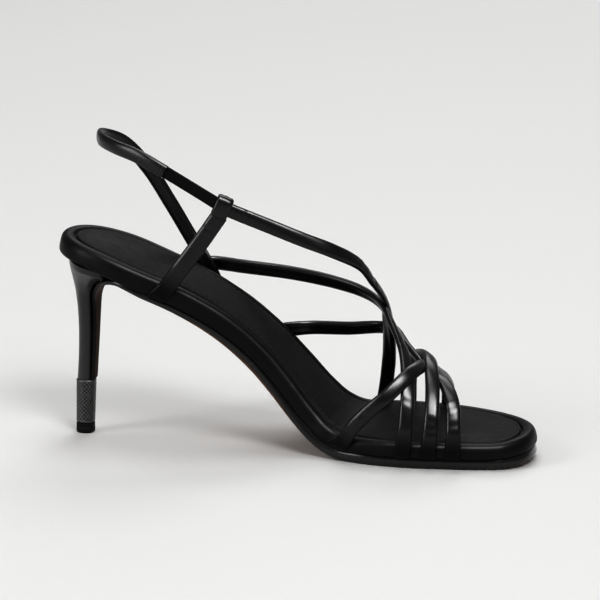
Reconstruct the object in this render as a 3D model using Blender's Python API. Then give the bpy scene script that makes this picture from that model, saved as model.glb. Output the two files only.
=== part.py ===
# Left slingback sandal with a slim high heel, standing on the floor.
# X runs from heel to toe, Y to the outer side of the foot, Z up.
# Tables and sizes are in millimetres and become metres when a mesh is made.
import math
from collections import namedtuple

import bmesh
import bpy
import numpy as np

for item in list(bpy.data.objects):
    bpy.data.objects.remove(item, do_unlink=True)

MM = 0.001
MEDIAL, LATERAL = -1, 1

# Driving sizes
GAP = 0.3
END_GAP = 0.25
FORE_LEVEL = 4.6
RIM_HEEL, RIM_FORE = 9.0, 7.2
RIM_ROUND = 3.0
INSOLE_INSET = 6.4
INSOLE_SINK = 1.5
SOLE_INSET = 1.2
BREAST_X = 37.0
WAIST_X = 45.0
BREAST_RADIUS = 13.4
BAND_TOP, BAND_FOOT = 25.0, 5.0
BAND_WALL = 0.8
TIP_TOP = 4.7
STRAP_WIDTH, STRAP_THICK = 6.5, 3.2
STRAP_END_WIDTH, STRAP_END_THICK = 7.2, 2.0
SIDE_WIDTH = 7.8
STRAP_STEP = 4.7
STRAP_SIDES = 8
STRAP_SQUARENESS = 2.8
ELASTIC_WIDTH, ELASTIC_THICK = 5.6, 2.0
LOOP_LENGTH, LOOP_THICK = 7.4, 1.7
LOOP_SIDES, LOOP_SQUARENESS = 20, 3.4
INNER_SQUARENESS, OUTER_SQUARENESS = 2.3, 1.5
ANKLE_CENTRE, ANKLE_HALF = 70.0, 30.0
OUTLINE_POINTS, SOLE_POINTS = 80, 104
PLATE_STEP = 6.8
HEEL_SIDES = 28
HEEL_WIDEST = 0.52
FINE = 900
SLOPE_STEP = 0.5
MERGE = 0.001
TRIM_REACH, TRIM_DEPTH, TRIM_CLEAR = 9.0, 14.0, 0.05

# The line that the footbed's underside follows from heel to toe
SolePoint = namedtuple("SolePoint", "x z")
SOLE_LINE = [
    SolePoint(0, 87.0),
    SolePoint(12, 84.2),
    SolePoint(26, 80.0),
    SolePoint(44, 73.0),
    SolePoint(62, 65.5),
    SolePoint(80, 55.2),
    SolePoint(95, 43.0),
    SolePoint(106, 31.4),
    SolePoint(118, 17.6),
    SolePoint(127, 9.4),
    SolePoint(136, 5.3),
    SolePoint(146, FORE_LEVEL),
    SolePoint(160, FORE_LEVEL),
    SolePoint(190, FORE_LEVEL),
    SolePoint(205, FORE_LEVEL),
    SolePoint(214, 5.4),
    SolePoint(226, 8.2),
]

# Plan of the footbed, half-widths to the inner and the outer side of the foot
PlanRow = namedtuple("PlanRow", "x medial lateral")
PLAN = [
    PlanRow(5.2, 12.6, 13.0),
    PlanRow(14, 21.8, 22.3),
    PlanRow(30, 26.8, 27.3),
    PlanRow(50, 26.5, 27.0),
    PlanRow(75, 23.5, 26.0),
    PlanRow(98, 22.0, 28.0),
    PlanRow(116, 24.6, 32.2),
    PlanRow(133, 29.8, 37.4),
    PlanRow(149, 35.2, 40.4),
    PlanRow(166, 37.6, 40.4),
    PlanRow(184, 37.2, 36.6),
    PlanRow(200, 35.4, 29.6),
]
PlanPoint = namedtuple("PlanPoint", "x y")
HEEL_BACK = PlanPoint(2, 0)
TOE_FRONT = [
    PlanPoint(213, -32.2),
    PlanPoint(221.2, -24.4),
    PlanPoint(224, -12.5),
    PlanPoint(222.2, 1),
    PlanPoint(217, 13.4),
    PlanPoint(210, 22.4),
]

# Thickness of the outsole along the shoe, and its strip down the heel breast
ThickRow = namedtuple("ThickRow", "x thick")
SOLE_THICK = [
    ThickRow(37, 2.2),
    ThickRow(55, 2.6),
    ThickRow(76, 3.4),
    ThickRow(96, 4.0),
    ThickRow(120, 4.2),
    ThickRow(140, 4.3),
]
STRIP_THICK, STRIP_STRAIGHT = 1.3, 0.6
StripRow = namedtuple("StripRow", "share half_width")
STRIP = [
    StripRow(0.0, 3.4),
    StripRow(0.25, 4.0),
    StripRow(0.45, 4.9),
    StripRow(0.59, 7.0),
    StripRow(0.72, 12.8),
    StripRow(0.82, 18.4),
    StripRow(0.92, 22.6),
    StripRow(1.0, 24.4),
]
STEM_FRONT = [SolePoint(16.9, 25.4), SolePoint(17.5, 36), SolePoint(18.2, 50)]

# Heel sections from the seat down to the band
HeelRow = namedtuple("HeelRow", "front_z back_x back_z half_width corner")
HEEL = [
    HeelRow(76.4, 7.4, 83.0, 23.2, 5.0),
    HeelRow(74.6, 7.8, 79.2, 19.0, 4.4),
    HeelRow(70.7, 8.5, 74.0, 13.4, 3.8),
    HeelRow(65.2, 9.5, 67.0, 8.8, 3.2),
    HeelRow(57.0, 10.3, 57.5, 6.6, 2.8),
    HeelRow(47.0, 10.6, 47.0, 5.5, 2.6),
    HeelRow(35.0, 10.3, 35.0, 4.8, 2.6),
    HeelRow(25.3, 9.7, 25.3, 4.4, 2.6),
]
SEAT_BACK, SEAT_HALF, SEAT_CORNER = 7.2, 23.4, 5.0
StemRow = namedtuple("StemRow", "z back_x front_x half_width")
BAND = [
    StemRow(BAND_TOP, 9.4, 18.0, 4.5),
    StemRow(BAND_TOP - 0.4, 9.1, 18.2, 4.7),
    StemRow(BAND_FOOT + 0.4, 8.9, 17.4, 4.6),
    StemRow(BAND_FOOT, 9.2, 17.2, 4.4),
]
TIP = [
    StemRow(TIP_TOP, 9.0, 17.3, 4.5),
    StemRow(0.5, 8.9, 17.3, 4.6),
    StemRow(0.0, 9.3, 16.9, 4.2),
]
SPIGOT = [StemRow(HEEL[-1].front_z, 10.5, 16.2, 3.4), StemRow(TIP_TOP + GAP, 10.6, 15.6, 3.0)]
STEM_CORNER = 2.6

# Foot form that the straps lie on
FootRow = namedtuple("FootRow", "x ridge_z ridge_y medial lateral")
FOOT = [
    FootRow(30, 260, 0, 27, 28),
    FootRow(60, 235, -2, 28.5, 30),
    FootRow(90, 200, -3, 30, 31),
    FootRow(105, 165, -4, 30, 31.5),
    FootRow(120, 130, -6, 30.5, 33),
    FootRow(135, 99, -7, 32.5, 35.5),
    FootRow(148, 72, -8, 35.2, 38.5),
    FootRow(158, 52.5, -9, 37.0, 40.0),
    FootRow(170, 39.8, -10, 37.4, 39.4),
    FootRow(185, 34, -14, 36.8, 35.8),
    FootRow(200, 29, -15, 34.5, 29.5),
    FootRow(214, 22, -14, 29, 14),
]
HeelBackRow = namedtuple("HeelBackRow", "z x")
HEEL_CURVE = [HeelBackRow(85, 6), HeelBackRow(105, 8), HeelBackRow(125, 17), HeelBackRow(140, 23)]


def spline(rows, keys, count, closed=False):
    # Cubic through the rows, with knots spaced by the square root of the distance between keys.
    rows = np.asarray(rows, float)
    keys = np.asarray(keys, float)
    if closed:
        rows = np.vstack((rows[-1:], rows, rows[:2]))
        keys = np.vstack((keys[-1:], keys, keys[:2]))
    knots = np.concatenate(([0.0], np.cumsum(np.sqrt(np.linalg.norm(np.diff(keys, axis=0), axis=1)))))
    step = np.diff(knots)[:, None]
    slope = np.diff(rows, axis=0) / step
    middle = (slope[:-1] * step[1:] + slope[1:] * step[:-1]) / (step[:-1] + step[1:])
    tangent = np.vstack((slope[:1], middle, slope[-1:]))
    first, last = (knots[1], knots[-2]) if closed else (knots[0], knots[-1])
    where = np.linspace(first, last, count, endpoint=not closed)
    span = np.clip(np.searchsorted(knots, where, side="right") - 1, 0, len(step) - 1)
    share = ((where - knots[span]) / step[span, 0])[:, None]
    start, end = rows[span], rows[span + 1]
    lead, trail = tangent[span] * step[span], tangent[span + 1] * step[span]
    bend = (1 - share) ** 2 * (1 + 2 * share) * start + share ** 2 * (3 - 2 * share) * end
    return bend + share * (1 - share) ** 2 * lead + share ** 2 * (share - 1) * trail


def running_length(line):
    return np.concatenate(([0.0], np.cumsum(np.linalg.norm(np.diff(line, axis=0), axis=1))))


def even(line, count, closed=False):
    # The same line with evenly spaced points.
    if closed:
        line = np.vstack((line, line[:1]))
    length = running_length(line)
    where = np.linspace(0, length[-1], count, endpoint=not closed)
    return np.column_stack([np.interp(where, length, column) for column in line.T])


def columns_at(table, x):
    # Smooth values of a table's further columns at x.
    values = np.asarray(table, float)
    dense = spline(values, values[:, :1], FINE)
    return [np.interp(x, dense[:, 0], column) for column in dense.T[1:]]


class Bend:
    # A line in the X-Z plane that a flat pattern is bent along.
    def __init__(self, line):
        self.line = np.asarray(line)
        self.length = running_length(self.line)
        tangent = np.gradient(self.line, self.length, axis=0)
        tangent /= np.linalg.norm(tangent, axis=1)[:, None]
        self.rise = np.column_stack((-tangent[:, 1], tangent[:, 0]))

    def place(self, run, across, height):
        at = [np.interp(run, self.length, column) for column in (*self.line.T, *self.rise.T)]
        return np.array((at[0] + height * at[2], across, at[1] + height * at[3]))


def sole_bend():
    line = even(spline(SOLE_LINE, SOLE_LINE, FINE), FINE)
    line[:, 1] = np.maximum(line[:, 1], FORE_LEVEL)
    return Bend(line)


SOLE = sole_bend()


def run_of(x):
    return float(np.interp(x, SOLE.line[:, 0], SOLE.length))


def rim_height(run):
    return np.interp(run, (run_of(60), run_of(140)), (RIM_HEEL, RIM_FORE))


def plan_outline():
    # Closed outline of the footbed, anticlockwise, with x as the distance run along the sole.
    inner = [(row.x, -row.medial) for row in PLAN]
    outer = [(row.x, row.lateral) for row in reversed(PLAN)]
    corners = [HEEL_BACK, *inner, *TOE_FRONT, *outer]
    outline = spline(corners, corners, FINE, closed=True)
    outline[:, 0] = [run_of(x) for x in outline[:, 0]]
    return even(outline, OUTLINE_POINTS, closed=True)


OUTLINE = plan_outline()


def inset(outline, distance):
    ahead = np.roll(outline, -1, axis=0) - np.roll(outline, 1, axis=0)
    inward = np.column_stack((-ahead[:, 1], ahead[:, 0]))
    return outline + distance * inward / np.linalg.norm(inward, axis=1)[:, None]


def half_width(run, side):
    half = OUTLINE[OUTLINE[:, 1] * side > 0]
    half = half[np.argsort(half[:, 0])]
    return np.interp(run, half[:, 0], np.abs(half[:, 1]))


def material(name, colour, roughness, metallic=0.0):
    made = bpy.data.materials.new(name)
    made.use_nodes = True
    shader = made.node_tree.nodes["Principled BSDF"]
    shader.inputs["Base Color"].default_value = (*colour, 1.0)
    shader.inputs["Roughness"].default_value = roughness
    shader.inputs["Metallic"].default_value = metallic
    return made


def finish(name, shape, look, smooth_angle=40):
    # One object from a mesh in millimetres.
    bmesh.ops.recalc_face_normals(shape, faces=shape.faces)
    bmesh.ops.scale(shape, vec=(MM, MM, MM), verts=shape.verts)
    mesh = bpy.data.meshes.new(name)
    shape.to_mesh(mesh)
    shape.free()
    mesh.materials.append(look)
    mesh.shade_smooth()
    mesh.set_sharp_from_angle(angle=math.radians(smooth_angle))
    made = bpy.data.objects.new(name, mesh)
    bpy.context.scene.collection.objects.link(made)
    return made


def loft(rings, closed_round=False, capped=True):
    # Solid through rings of equal point counts.
    shape = bmesh.new()
    loops = [[shape.verts.new(point) for point in ring] for ring in rings]
    pairs = list(zip(loops, loops[1:]))
    if closed_round:
        pairs.append((loops[-1], loops[0]))
    for low, high in pairs:
        for at in range(len(low)):
            after = (at + 1) % len(low)
            shape.faces.new((low[at], low[after], high[after], high[at]))
    if capped and not closed_round:
        shape.faces.new(loops[0])
        shape.faces.new(loops[-1])
    return shape


Layer = namedtuple("Layer", "inset height")


def bent_plate(outline, layers, bend):
    # A flat pattern built up in layers, sliced across, then bent along a line.
    rings = []
    for layer in layers:
        edge = inset(outline, layer.inset)
        rings.append([(run, across, layer.height(run)) for run, across in edge])
    shape = loft(rings)
    first, last = outline[:, 0].min(), outline[:, 0].max()
    cuts = int((last - first) / PLATE_STEP)
    for cut in np.linspace(first, last, cuts + 1)[1:-1]:
        every = shape.verts[:] + shape.edges[:] + shape.faces[:]
        bmesh.ops.bisect_plane(shape, geom=every, dist=0.01, plane_co=(cut, 0, 0), plane_no=(1, 0, 0))
    for vert in shape.verts:
        vert.co = bend.place(*vert.co)
    return shape


def from_top(drop):
    return lambda run: rim_height(run) - drop


def from_seam(height):
    return lambda run: height


def make_footbed():
    layers = [
        Layer(1.2, from_seam(0.0)),
        Layer(0.3, from_seam(0.4)),
        Layer(0.0, from_seam(1.3)),
        Layer(0.0, from_top(RIM_ROUND)),
        Layer(0.3, from_top(0.50 * RIM_ROUND)),
        Layer(1.2, from_top(0.15 * RIM_ROUND)),
        Layer(RIM_ROUND, from_top(0.0)),
        Layer(INSOLE_INSET - 1.1, from_top(0.35)),
        Layer(INSOLE_INSET - 0.4, from_top(INSOLE_SINK)),
    ]
    look = material("footbed_leather", (0.012, 0.012, 0.013), 0.42)
    return finish("footbed", bent_plate(OUTLINE, layers, SOLE), look)


def make_insole():
    layers = [
        Layer(INSOLE_INSET, from_top(INSOLE_SINK - GAP)),
        Layer(INSOLE_INSET, from_top(0.4)),
        Layer(INSOLE_INSET + 0.7, from_top(0.0)),
        Layer(INSOLE_INSET + 2.4, from_top(-0.3)),
    ]
    look = material("insole_leather", (0.015, 0.014, 0.014), 0.5)
    return finish("insole", bent_plate(OUTLINE, layers, SOLE), look)


def breast_centre():
    x, _, z = SOLE.place(run_of(BREAST_X), 0, -GAP - BREAST_RADIUS)
    return x, z


BREAST = breast_centre()


def outsole_bend():
    # From the band up the front of the heel, round the breast and along to the toe.
    rise = SOLE.place(run_of(BREAST_X), 0, 1) - SOLE.place(run_of(BREAST_X), 0, 0)
    end = math.atan2(rise[2], rise[0])
    turn = np.linspace(math.pi, end, FINE)
    arc = np.column_stack((BREAST[0] + BREAST_RADIUS * np.cos(turn), BREAST[1] + BREAST_RADIUS * np.sin(turn)))
    stem = spline([*STEM_FRONT, arc[0]], [*STEM_FRONT, arc[0]], FINE)
    runs = np.linspace(run_of(BREAST_X), SOLE.length[-1], FINE)[1:]
    floor = np.array([SOLE.place(run, 0, -GAP) for run in runs])[:, (0, 2)]
    strip = np.vstack((stem, arc[1:]))
    return Bend(np.vstack((strip, floor))), running_length(strip)[-1]


def make_outsole():
    bend, strip_run = outsole_bend()
    shift = strip_run - run_of(BREAST_X)
    edge = inset(OUTLINE, SOLE_INSET)
    keep = edge[edge[:, 0] > run_of(WAIST_X)] + (shift, 0)
    inner = [(row.share * strip_run, -row.half_width) for row in STRIP]
    outer = [(row.share * strip_run, row.half_width) for row in reversed(STRIP)]
    sides = spline(inner, inner, FINE), spline(outer, outer, FINE)
    outline = even(np.vstack((sides[0], keep, sides[1])), SOLE_POINTS, closed=True)
    thick_runs = [0, strip_run * STRIP_STRAIGHT, *(run_of(row.x) + shift for row in SOLE_THICK)]
    thicks = [STRIP_THICK, STRIP_THICK, *(row.thick for row in SOLE_THICK)]

    def depth(share):
        return lambda run: -share * np.interp(run, thick_runs, thicks)

    layers = [
        Layer(0.45, depth(1.0)),
        Layer(0.0, depth(0.82)),
        Layer(0.0, depth(0.12)),
        Layer(0.3, depth(0.0)),
    ]
    look = material("outsole_leather", (0.16, 0.075, 0.035), 0.5)
    return finish("outsole", bent_plate(outline, layers, bend), look)


def stem_front(z):
    # Contact line of the heel with the strip, at a height.
    if z > BREAST[1]:
        reach = BREAST_RADIUS + GAP
        return BREAST[0] - math.sqrt(max(reach ** 2 - (z - BREAST[1]) ** 2, 0.0))
    rows = [*STEM_FRONT, SolePoint(BREAST[0] - BREAST_RADIUS, BREAST[1])]
    line = spline(rows, rows, FINE)
    return float(np.interp(z, line[:, 1], line[:, 0])) - GAP


def d_ring(back, front, half, corner):
    # Rounded at the back, squarer at the front, between two points (x, z).
    ring = []
    for at in range(HEEL_SIDES):
        turn = 2 * math.pi * at / HEEL_SIDES
        c, s = math.cos(turn), math.sin(turn)
        power = 2 / corner if c > 0 else 1
        reach = (1 - HEEL_WIDEST) * c ** power if c > 0 else HEEL_WIDEST * c
        share = HEEL_WIDEST + reach
        across = half * math.copysign(abs(s) ** power, s)
        ring.append((back[0] + share * (front[0] - back[0]), across, back[1] + share * (front[1] - back[1])))
    return ring


def stem_ring(row, shrink=0.0):
    back, front = (row.back_x + shrink, row.z), (row.front_x - shrink, row.z)
    return d_ring(back, front, row.half_width - shrink, STEM_CORNER)


def seat_ring():
    front = stem_front(HEEL[0].front_z)
    ring = d_ring((SEAT_BACK, 0), (front, 0), SEAT_HALF, SEAT_CORNER)
    return [SOLE.place(run_of(x), y, -GAP) for x, y, _ in ring]


def make_heel():
    dense = spline(HEEL, np.arange(len(HEEL))[:, None], 3 * (len(HEEL) - 1) + 1)
    rings = [seat_ring()]
    for front_z, back_x, back_z, half, corner in dense:
        rings.append(d_ring((back_x, back_z), (stem_front(front_z), front_z), half, corner))
    rings += [stem_ring(row) for row in SPIGOT]
    look = material("heel_leather", (0.012, 0.012, 0.013), 0.42)
    return finish("heel", loft(rings), look)


def make_band():
    outside = [stem_ring(row) for row in BAND]
    inside = [stem_ring(row, BAND_WALL) for row in reversed(BAND)]
    look = material("band_metal", (0.09, 0.09, 0.10), 0.35, 0.8)
    return finish("heel_band", loft(outside + inside, closed_round=True), look)


def make_tip():
    look = material("tip_rubber", (0.02, 0.02, 0.02), 0.6)
    return finish("heel_tip", loft([stem_ring(row) for row in TIP]), look)


TOP_LINE = np.array([SOLE.place(run, 0, rim_height(run)) for run in SOLE.length])


def foot_row(x):
    ridge_z, ridge_y, medial, lateral = columns_at(FOOT, x)
    base = np.interp(x, TOP_LINE[:, 0], TOP_LINE[:, 2])
    return base, ridge_z, ridge_y, medial + ridge_y, lateral - ridge_y


def squareness(which):
    return OUTER_SQUARENESS if which == LATERAL else INNER_SQUARENESS


def foot_value(point):
    # Zero on the foot's skin, more outside.
    x, y, z = point
    base, ridge_z, ridge_y, medial, lateral = foot_row(x)
    which = LATERAL if y > ridge_y else MEDIAL
    reach = (y - ridge_y) / (lateral if which == LATERAL else medial)
    height = max((z - base) / (ridge_z - base), 0)
    return abs(reach) ** squareness(which) + height ** squareness(which)


def outward(value, point):
    slope = [value(point + SLOPE_STEP * axis) - value(point - SLOPE_STEP * axis) for axis in np.eye(3)]
    return np.array(slope) / np.linalg.norm(slope)


# A row of a strap: place of its inner face, way out from the foot, and how flat it is
StrapRow = namedtuple("StrapRow", "point out flat")


def other_share(share, which):
    return max(1 - abs(share) ** squareness(which), 0.0) ** (1 / squareness(which))


def side(which, x, z, lift=0.0):
    # On the side of the foot at a height.
    base, ridge_z, ridge_y, medial, lateral = foot_row(x)
    reach = lateral if which == LATERAL else medial
    y = ridge_y + which * reach * other_share(max(z - base, 0) / (ridge_z - base), which)
    point = np.array((x, y, z))
    out = outward(foot_value, point)
    return StrapRow(point + lift * out, out, 0.0)


def top(x, y, lift=0.0):
    # On top of the foot at a distance across.
    base, ridge_z, ridge_y, medial, lateral = foot_row(x)
    which = LATERAL if y > ridge_y else MEDIAL
    reach = lateral if which == LATERAL else medial
    point = np.array((x, y, base + (ridge_z - base) * other_share((y - ridge_y) / reach, which)))
    out = outward(foot_value, point)
    return StrapRow(point + lift * out, out, 0.0)


def ankle(which, x, z, lift=0.0):
    # Round the back of the ankle, an ellipse in plan at each height.
    back = np.interp(z, [row.z for row in HEEL_CURVE], [row.x for row in HEEL_CURVE])
    span = ANKLE_CENTRE - back
    along = min((ANKLE_CENTRE - x) / span, 1.0)
    across = math.sqrt(1 - along ** 2)
    out = np.array((-along / span, which * across / ANKLE_HALF, 0))
    out /= np.linalg.norm(out)
    point = np.array((x, which * ANKLE_HALF * across, z))
    return StrapRow(point + lift * out, out, 0.0)


def rim(which, x, up, lift=0.0):
    # On the rim's side: up runs from 0 at the seam to 1 at the rim's top.
    run = run_of(x)
    reach = half_width(run, which)
    turn = (half_width(run + SLOPE_STEP, which) - half_width(run - SLOPE_STEP, which)) / (2 * SLOPE_STEP)
    ahead = SOLE.place(run + SLOPE_STEP, 0, 0) - SOLE.place(run - SLOPE_STEP, 0, 0)
    out = which * np.array((0, 1, 0)) - turn * ahead / np.linalg.norm(ahead)
    out /= np.linalg.norm(out)
    point = SOLE.place(run, which * reach, up * rim_height(run))
    return StrapRow(point + (GAP + lift) * out, out, 1.0)


# Straps, each from its outer foot on the rim to its inner one
UNDER_SEAM = -0.5
STRAP_A = [
    rim(LATERAL, 37, -0.2, 0.2),
    rim(LATERAL, 48, 0.30, 0.5),
    rim(LATERAL, 56, 0.66, 1.2),
    side(LATERAL, 66, 74.0, 1.4),
    side(LATERAL, 82, 73.0),
    side(LATERAL, 104, 71.2),
    side(LATERAL, 124, 68.7),
    top(138, 18.4),
    top(147, 10.8),
    top(155.4, -2.5),
    top(162.4, -13.5),
    side(MEDIAL, 166.6, 38.5),
    side(MEDIAL, 168.6, 29),
    side(MEDIAL, 168.6, 19),
    rim(MEDIAL, 167.6, 0.7),
    rim(MEDIAL, 166.4, UNDER_SEAM),
]
STRAP_B = [
    rim(LATERAL, 93, UNDER_SEAM),
    rim(LATERAL, 97, 0.6),
    side(LATERAL, 112, 45.4),
    side(LATERAL, 130, 46, 0.4),
    top(144, 26, 2.4),
    top(151.4, 20, 1.8),
    top(160.4, 8.6, 0.2),
    top(169, -2),
    top(177, -12.5),
    side(MEDIAL, 182.6, 34.4),
    side(MEDIAL, 188.6, 27.5),
    side(MEDIAL, 190, 18),
    rim(MEDIAL, 189.8, 0.7),
    rim(MEDIAL, 189, UNDER_SEAM),
]
STRAP_C = [
    side(MEDIAL, 83.6, 115.4, 2.3),
    side(MEDIAL, 90, 112.6, 1.2),
    side(MEDIAL, 104, 106.8),
    side(MEDIAL, 119.5, 100.2),
    side(MEDIAL, 132, 94.2),
    top(141.4, -10),
    top(145, -4, 0.5),
    top(147, 4, 1.6),
    top(148.2, 13, 1.5),
    side(LATERAL, 148.6, 37),
    side(LATERAL, 147, 22),
    rim(LATERAL, 145, 0.8),
    rim(LATERAL, 143, UNDER_SEAM),
]
STRAP_D = [
    rim(LATERAL, 155.4, UNDER_SEAM),
    rim(LATERAL, 156.2, 0.8),
    side(LATERAL, 158, 25.5),
    top(161.6, 21.5, 1.0),
    top(166, 9, 2.6),
    top(170.4, -4, 3.8),
    top(174.6, -15, 3.2),
    side(MEDIAL, 178.4, 33.4, 0.8),
    side(MEDIAL, 180, 24),
    side(MEDIAL, 179.6, 16),
    rim(MEDIAL, 179, 0.7),
    rim(MEDIAL, 178, UNDER_SEAM),
]
STRAP_E = [
    rim(LATERAL, 174.5, UNDER_SEAM),
    rim(LATERAL, 175, 0.8),
    side(LATERAL, 175.4, 20),
    top(175.2, 19),
    top(174.2, 6, 0.2),
    top(172.4, -6, 1.6),
    top(170.2, -15, 1.8),
    side(MEDIAL, 166, 38, 2.2),
    side(MEDIAL, 159.5, 32, 0.8),
    side(MEDIAL, 151.5, 25),
    side(MEDIAL, 144.6, 17.5),
    rim(MEDIAL, 139, 0.65),
    rim(MEDIAL, 133, UNDER_SEAM),
]
SLING = [
    rim(LATERAL, 75, UNDER_SEAM),
    rim(LATERAL, 66, 0.5),
    rim(LATERAL, 60.5, 1.0),
    ankle(LATERAL, 56, 87),
    ankle(LATERAL, 47, 103),
    ankle(LATERAL, 38, 119),
    ankle(LATERAL, 29, 132),
    ankle(LATERAL, 22.8, 138),
    ankle(MEDIAL, 26, 139.4),
    ankle(MEDIAL, 34, 138.2),
    ankle(MEDIAL, 45, 135.8),
    ankle(MEDIAL, 58, 129.9, 0.4),
    side(MEDIAL, 71, 122.6, 2.3),
    side(MEDIAL, 83.6, 115.4, 2.3),
]
SIDE_STRAP = [
    rim(MEDIAL, 49.6, UNDER_SEAM),
    rim(MEDIAL, 54, 0.7),
    side(MEDIAL, 64.4, 85.2, 0.2),
    side(MEDIAL, 73.3, 97.2, 0.6),
    side(MEDIAL, 83, 111.3, 1.6),
]
LEATHER_END = 58.0


class Strap:
    # A smooth path for a strap's inner face, with the way out and the flatness along it.
    def __init__(self, rows):
        values = [(*row.point, *row.out, row.flat) for row in rows]
        keys = [row.point for row in rows]
        dense = spline(values, keys, FINE)
        self.length = running_length(dense[:, :3])
        self.values = dense

    def at(self, run):
        return np.array([np.interp(run, self.length, column) for column in self.values.T])

    def frame(self, run):
        here = self.at(run)
        ahead = self.at(run + SLOPE_STEP)[:3] - self.at(run - SLOPE_STEP)[:3]
        ahead /= np.linalg.norm(ahead)
        out = here[3:6] - ahead * np.dot(here[3:6], ahead)
        out /= np.linalg.norm(out)
        return here[:3], ahead, out, np.cross(ahead, out), np.clip(here[6], 0, 1)

    def rings(self, first, last, wide, thick, end_wide, end_thick):
        count = max(int((last - first) / STRAP_STEP), 2) + 1
        for run in np.linspace(first, last, count):
            centre, _, out, across, flat = self.frame(run)
            width = wide + (end_wide - wide) * flat
            height = thick + (end_thick - thick) * flat
            yield [centre + b * width * across + n * height * out for b, n in section(STRAP_SIDES)]


def section(sides):
    # Rounded strap section: share of the width across, share of the thickness up.
    points = []
    for at in range(sides):
        turn = 2 * math.pi * (at + 0.5) / sides
        c, s = math.cos(turn), math.sin(turn)
        b = 0.5 * math.copysign(abs(c) ** (2 / STRAP_SQUARENESS), c)
        n = 0.5 * math.copysign(abs(s) ** (2 / STRAP_SQUARENESS), s)
        points.append((b, 0.5 + n))
    return points


def leather(path, first=0.0, last=None, wide=STRAP_WIDTH):
    last = path.length[-1] if last is None else last
    end_wide = max(wide, STRAP_END_WIDTH)
    return loft(list(path.rings(first, last, wide, STRAP_THICK, end_wide, STRAP_END_THICK)))


def helper(name, shape):
    made = finish(name, shape, HELPER_LOOK)
    made.hide_render = True
    made.display_type = "WIRE"
    return made


HELPER_LOOK = material("helper", (0.5, 0.5, 0.5), 0.5)


def below_seam():
    # Everything under the seam and beside the rim, to trim the ends of the straps.
    layers = [Layer(-TRIM_REACH, from_seam(-TRIM_DEPTH)), Layer(-TRIM_REACH, from_seam(TRIM_CLEAR))]
    return bent_plate(OUTLINE, layers, SOLE)


def combine(name, shapes, look):
    # Joins the shapes into one solid and trims it at the seam.
    helpers = [helper(f"{name}_{number}", shape) for number, shape in enumerate(shapes)]
    trim = helper(f"{name}_trim", below_seam())
    base = helpers[0]
    for tool in helpers[1:] + [trim]:
        step = base.modifiers.new(tool.name, "BOOLEAN")
        step.object = tool
        step.solver = "EXACT"
        step.operation = "DIFFERENCE" if tool is trim else "UNION"
    shape = bmesh.new()
    shape.from_object(base, bpy.context.evaluated_depsgraph_get())
    for used in helpers + [trim]:
        bpy.data.objects.remove(used, do_unlink=True)
    bmesh.ops.remove_doubles(shape, verts=shape.verts, dist=MERGE * MM)
    bmesh.ops.dissolve_degenerate(shape, edges=shape.edges, dist=MERGE * MM)
    bmesh.ops.triangulate(shape, faces=shape.faces)
    bmesh.ops.scale(shape, vec=(1 / MM, 1 / MM, 1 / MM), verts=shape.verts)
    return finish(name, shape, look)


def sling_split(path):
    # Run at which the leather of the sling ends on the inner side.
    inner = np.where((path.values[:, 0] > LEATHER_END) & (path.values[:, 1] < 0))[0]
    return path.length[inner[0]]


def loop_ring(path):
    # A flat band closed round the end of the long strap.
    centre, ahead, out, across, _ = path.frame(SLOPE_STEP)
    middle = centre + 0.5 * STRAP_THICK * out
    half_b = 0.5 * STRAP_WIDTH + GAP + 0.5 * LOOP_THICK
    half_n = 0.5 * STRAP_THICK + GAP + 0.5 * LOOP_THICK
    rings = []
    for at in range(LOOP_SIDES):
        turn = 2 * math.pi * at / LOOP_SIDES
        c, s = math.cos(turn), math.sin(turn)
        b = half_b * math.copysign(abs(c) ** (2 / LOOP_SQUARENESS), c)
        n = half_n * math.copysign(abs(s) ** (2 / LOOP_SQUARENESS), s)
        way = across * c / half_b + out * s / half_n
        way /= np.linalg.norm(way)
        hub = middle + b * across + n * out
        rings.append([hub + u * LOOP_LENGTH * ahead + (v - 0.5) * LOOP_THICK * way for u, v in section(STRAP_SIDES)])
    return loft(rings, closed_round=True)


def make_upper(sling, long_strap):
    paths = [Strap(rows) for rows in (STRAP_A, STRAP_B, STRAP_D, STRAP_E)]
    shapes = [leather(path) for path in paths]
    shapes.insert(1, leather(long_strap, first=END_GAP))
    shapes.append(leather(sling, last=sling_split(sling)))
    look = material("strap_leather", (0.012, 0.012, 0.013), 0.36)
    return combine("upper", shapes, look)


def make_elastic(sling):
    first = sling_split(sling) + GAP
    last = sling.length[-1] - END_GAP
    rings = sling.rings(first, last, ELASTIC_WIDTH, ELASTIC_THICK, ELASTIC_WIDTH, ELASTIC_THICK)
    look = material("elastic_weave", (0.018, 0.018, 0.019), 0.85)
    return finish("sling_elastic", loft(list(rings)), look)


def make_side_loop(long_strap):
    look = material("loop_leather", (0.012, 0.012, 0.013), 0.38)
    return combine("side_loop", [leather(Strap(SIDE_STRAP), wide=SIDE_WIDTH), loop_ring(long_strap)], look)


def make_sandal():
    sling, long_strap = Strap(SLING), Strap(STRAP_C)
    pieces = [make_outsole(), make_footbed(), make_insole(), make_heel(), make_band(), make_tip()]
    pieces += [make_upper(sling, long_strap), make_side_loop(long_strap), make_elastic(sling)]
    corners = np.array([vert.co for piece in pieces for vert in piece.data.vertices])
    low, high = corners.min(axis=0), corners.max(axis=0)
    stand = bpy.data.objects.new("sandal", None)
    bpy.context.scene.collection.objects.link(stand)
    stand.location = (-0.5 * (low[0] + high[0]), -0.5 * (low[1] + high[1]), 0.0)
    for piece in pieces:
        piece.parent = stand


make_sandal()
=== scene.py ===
import math

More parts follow.
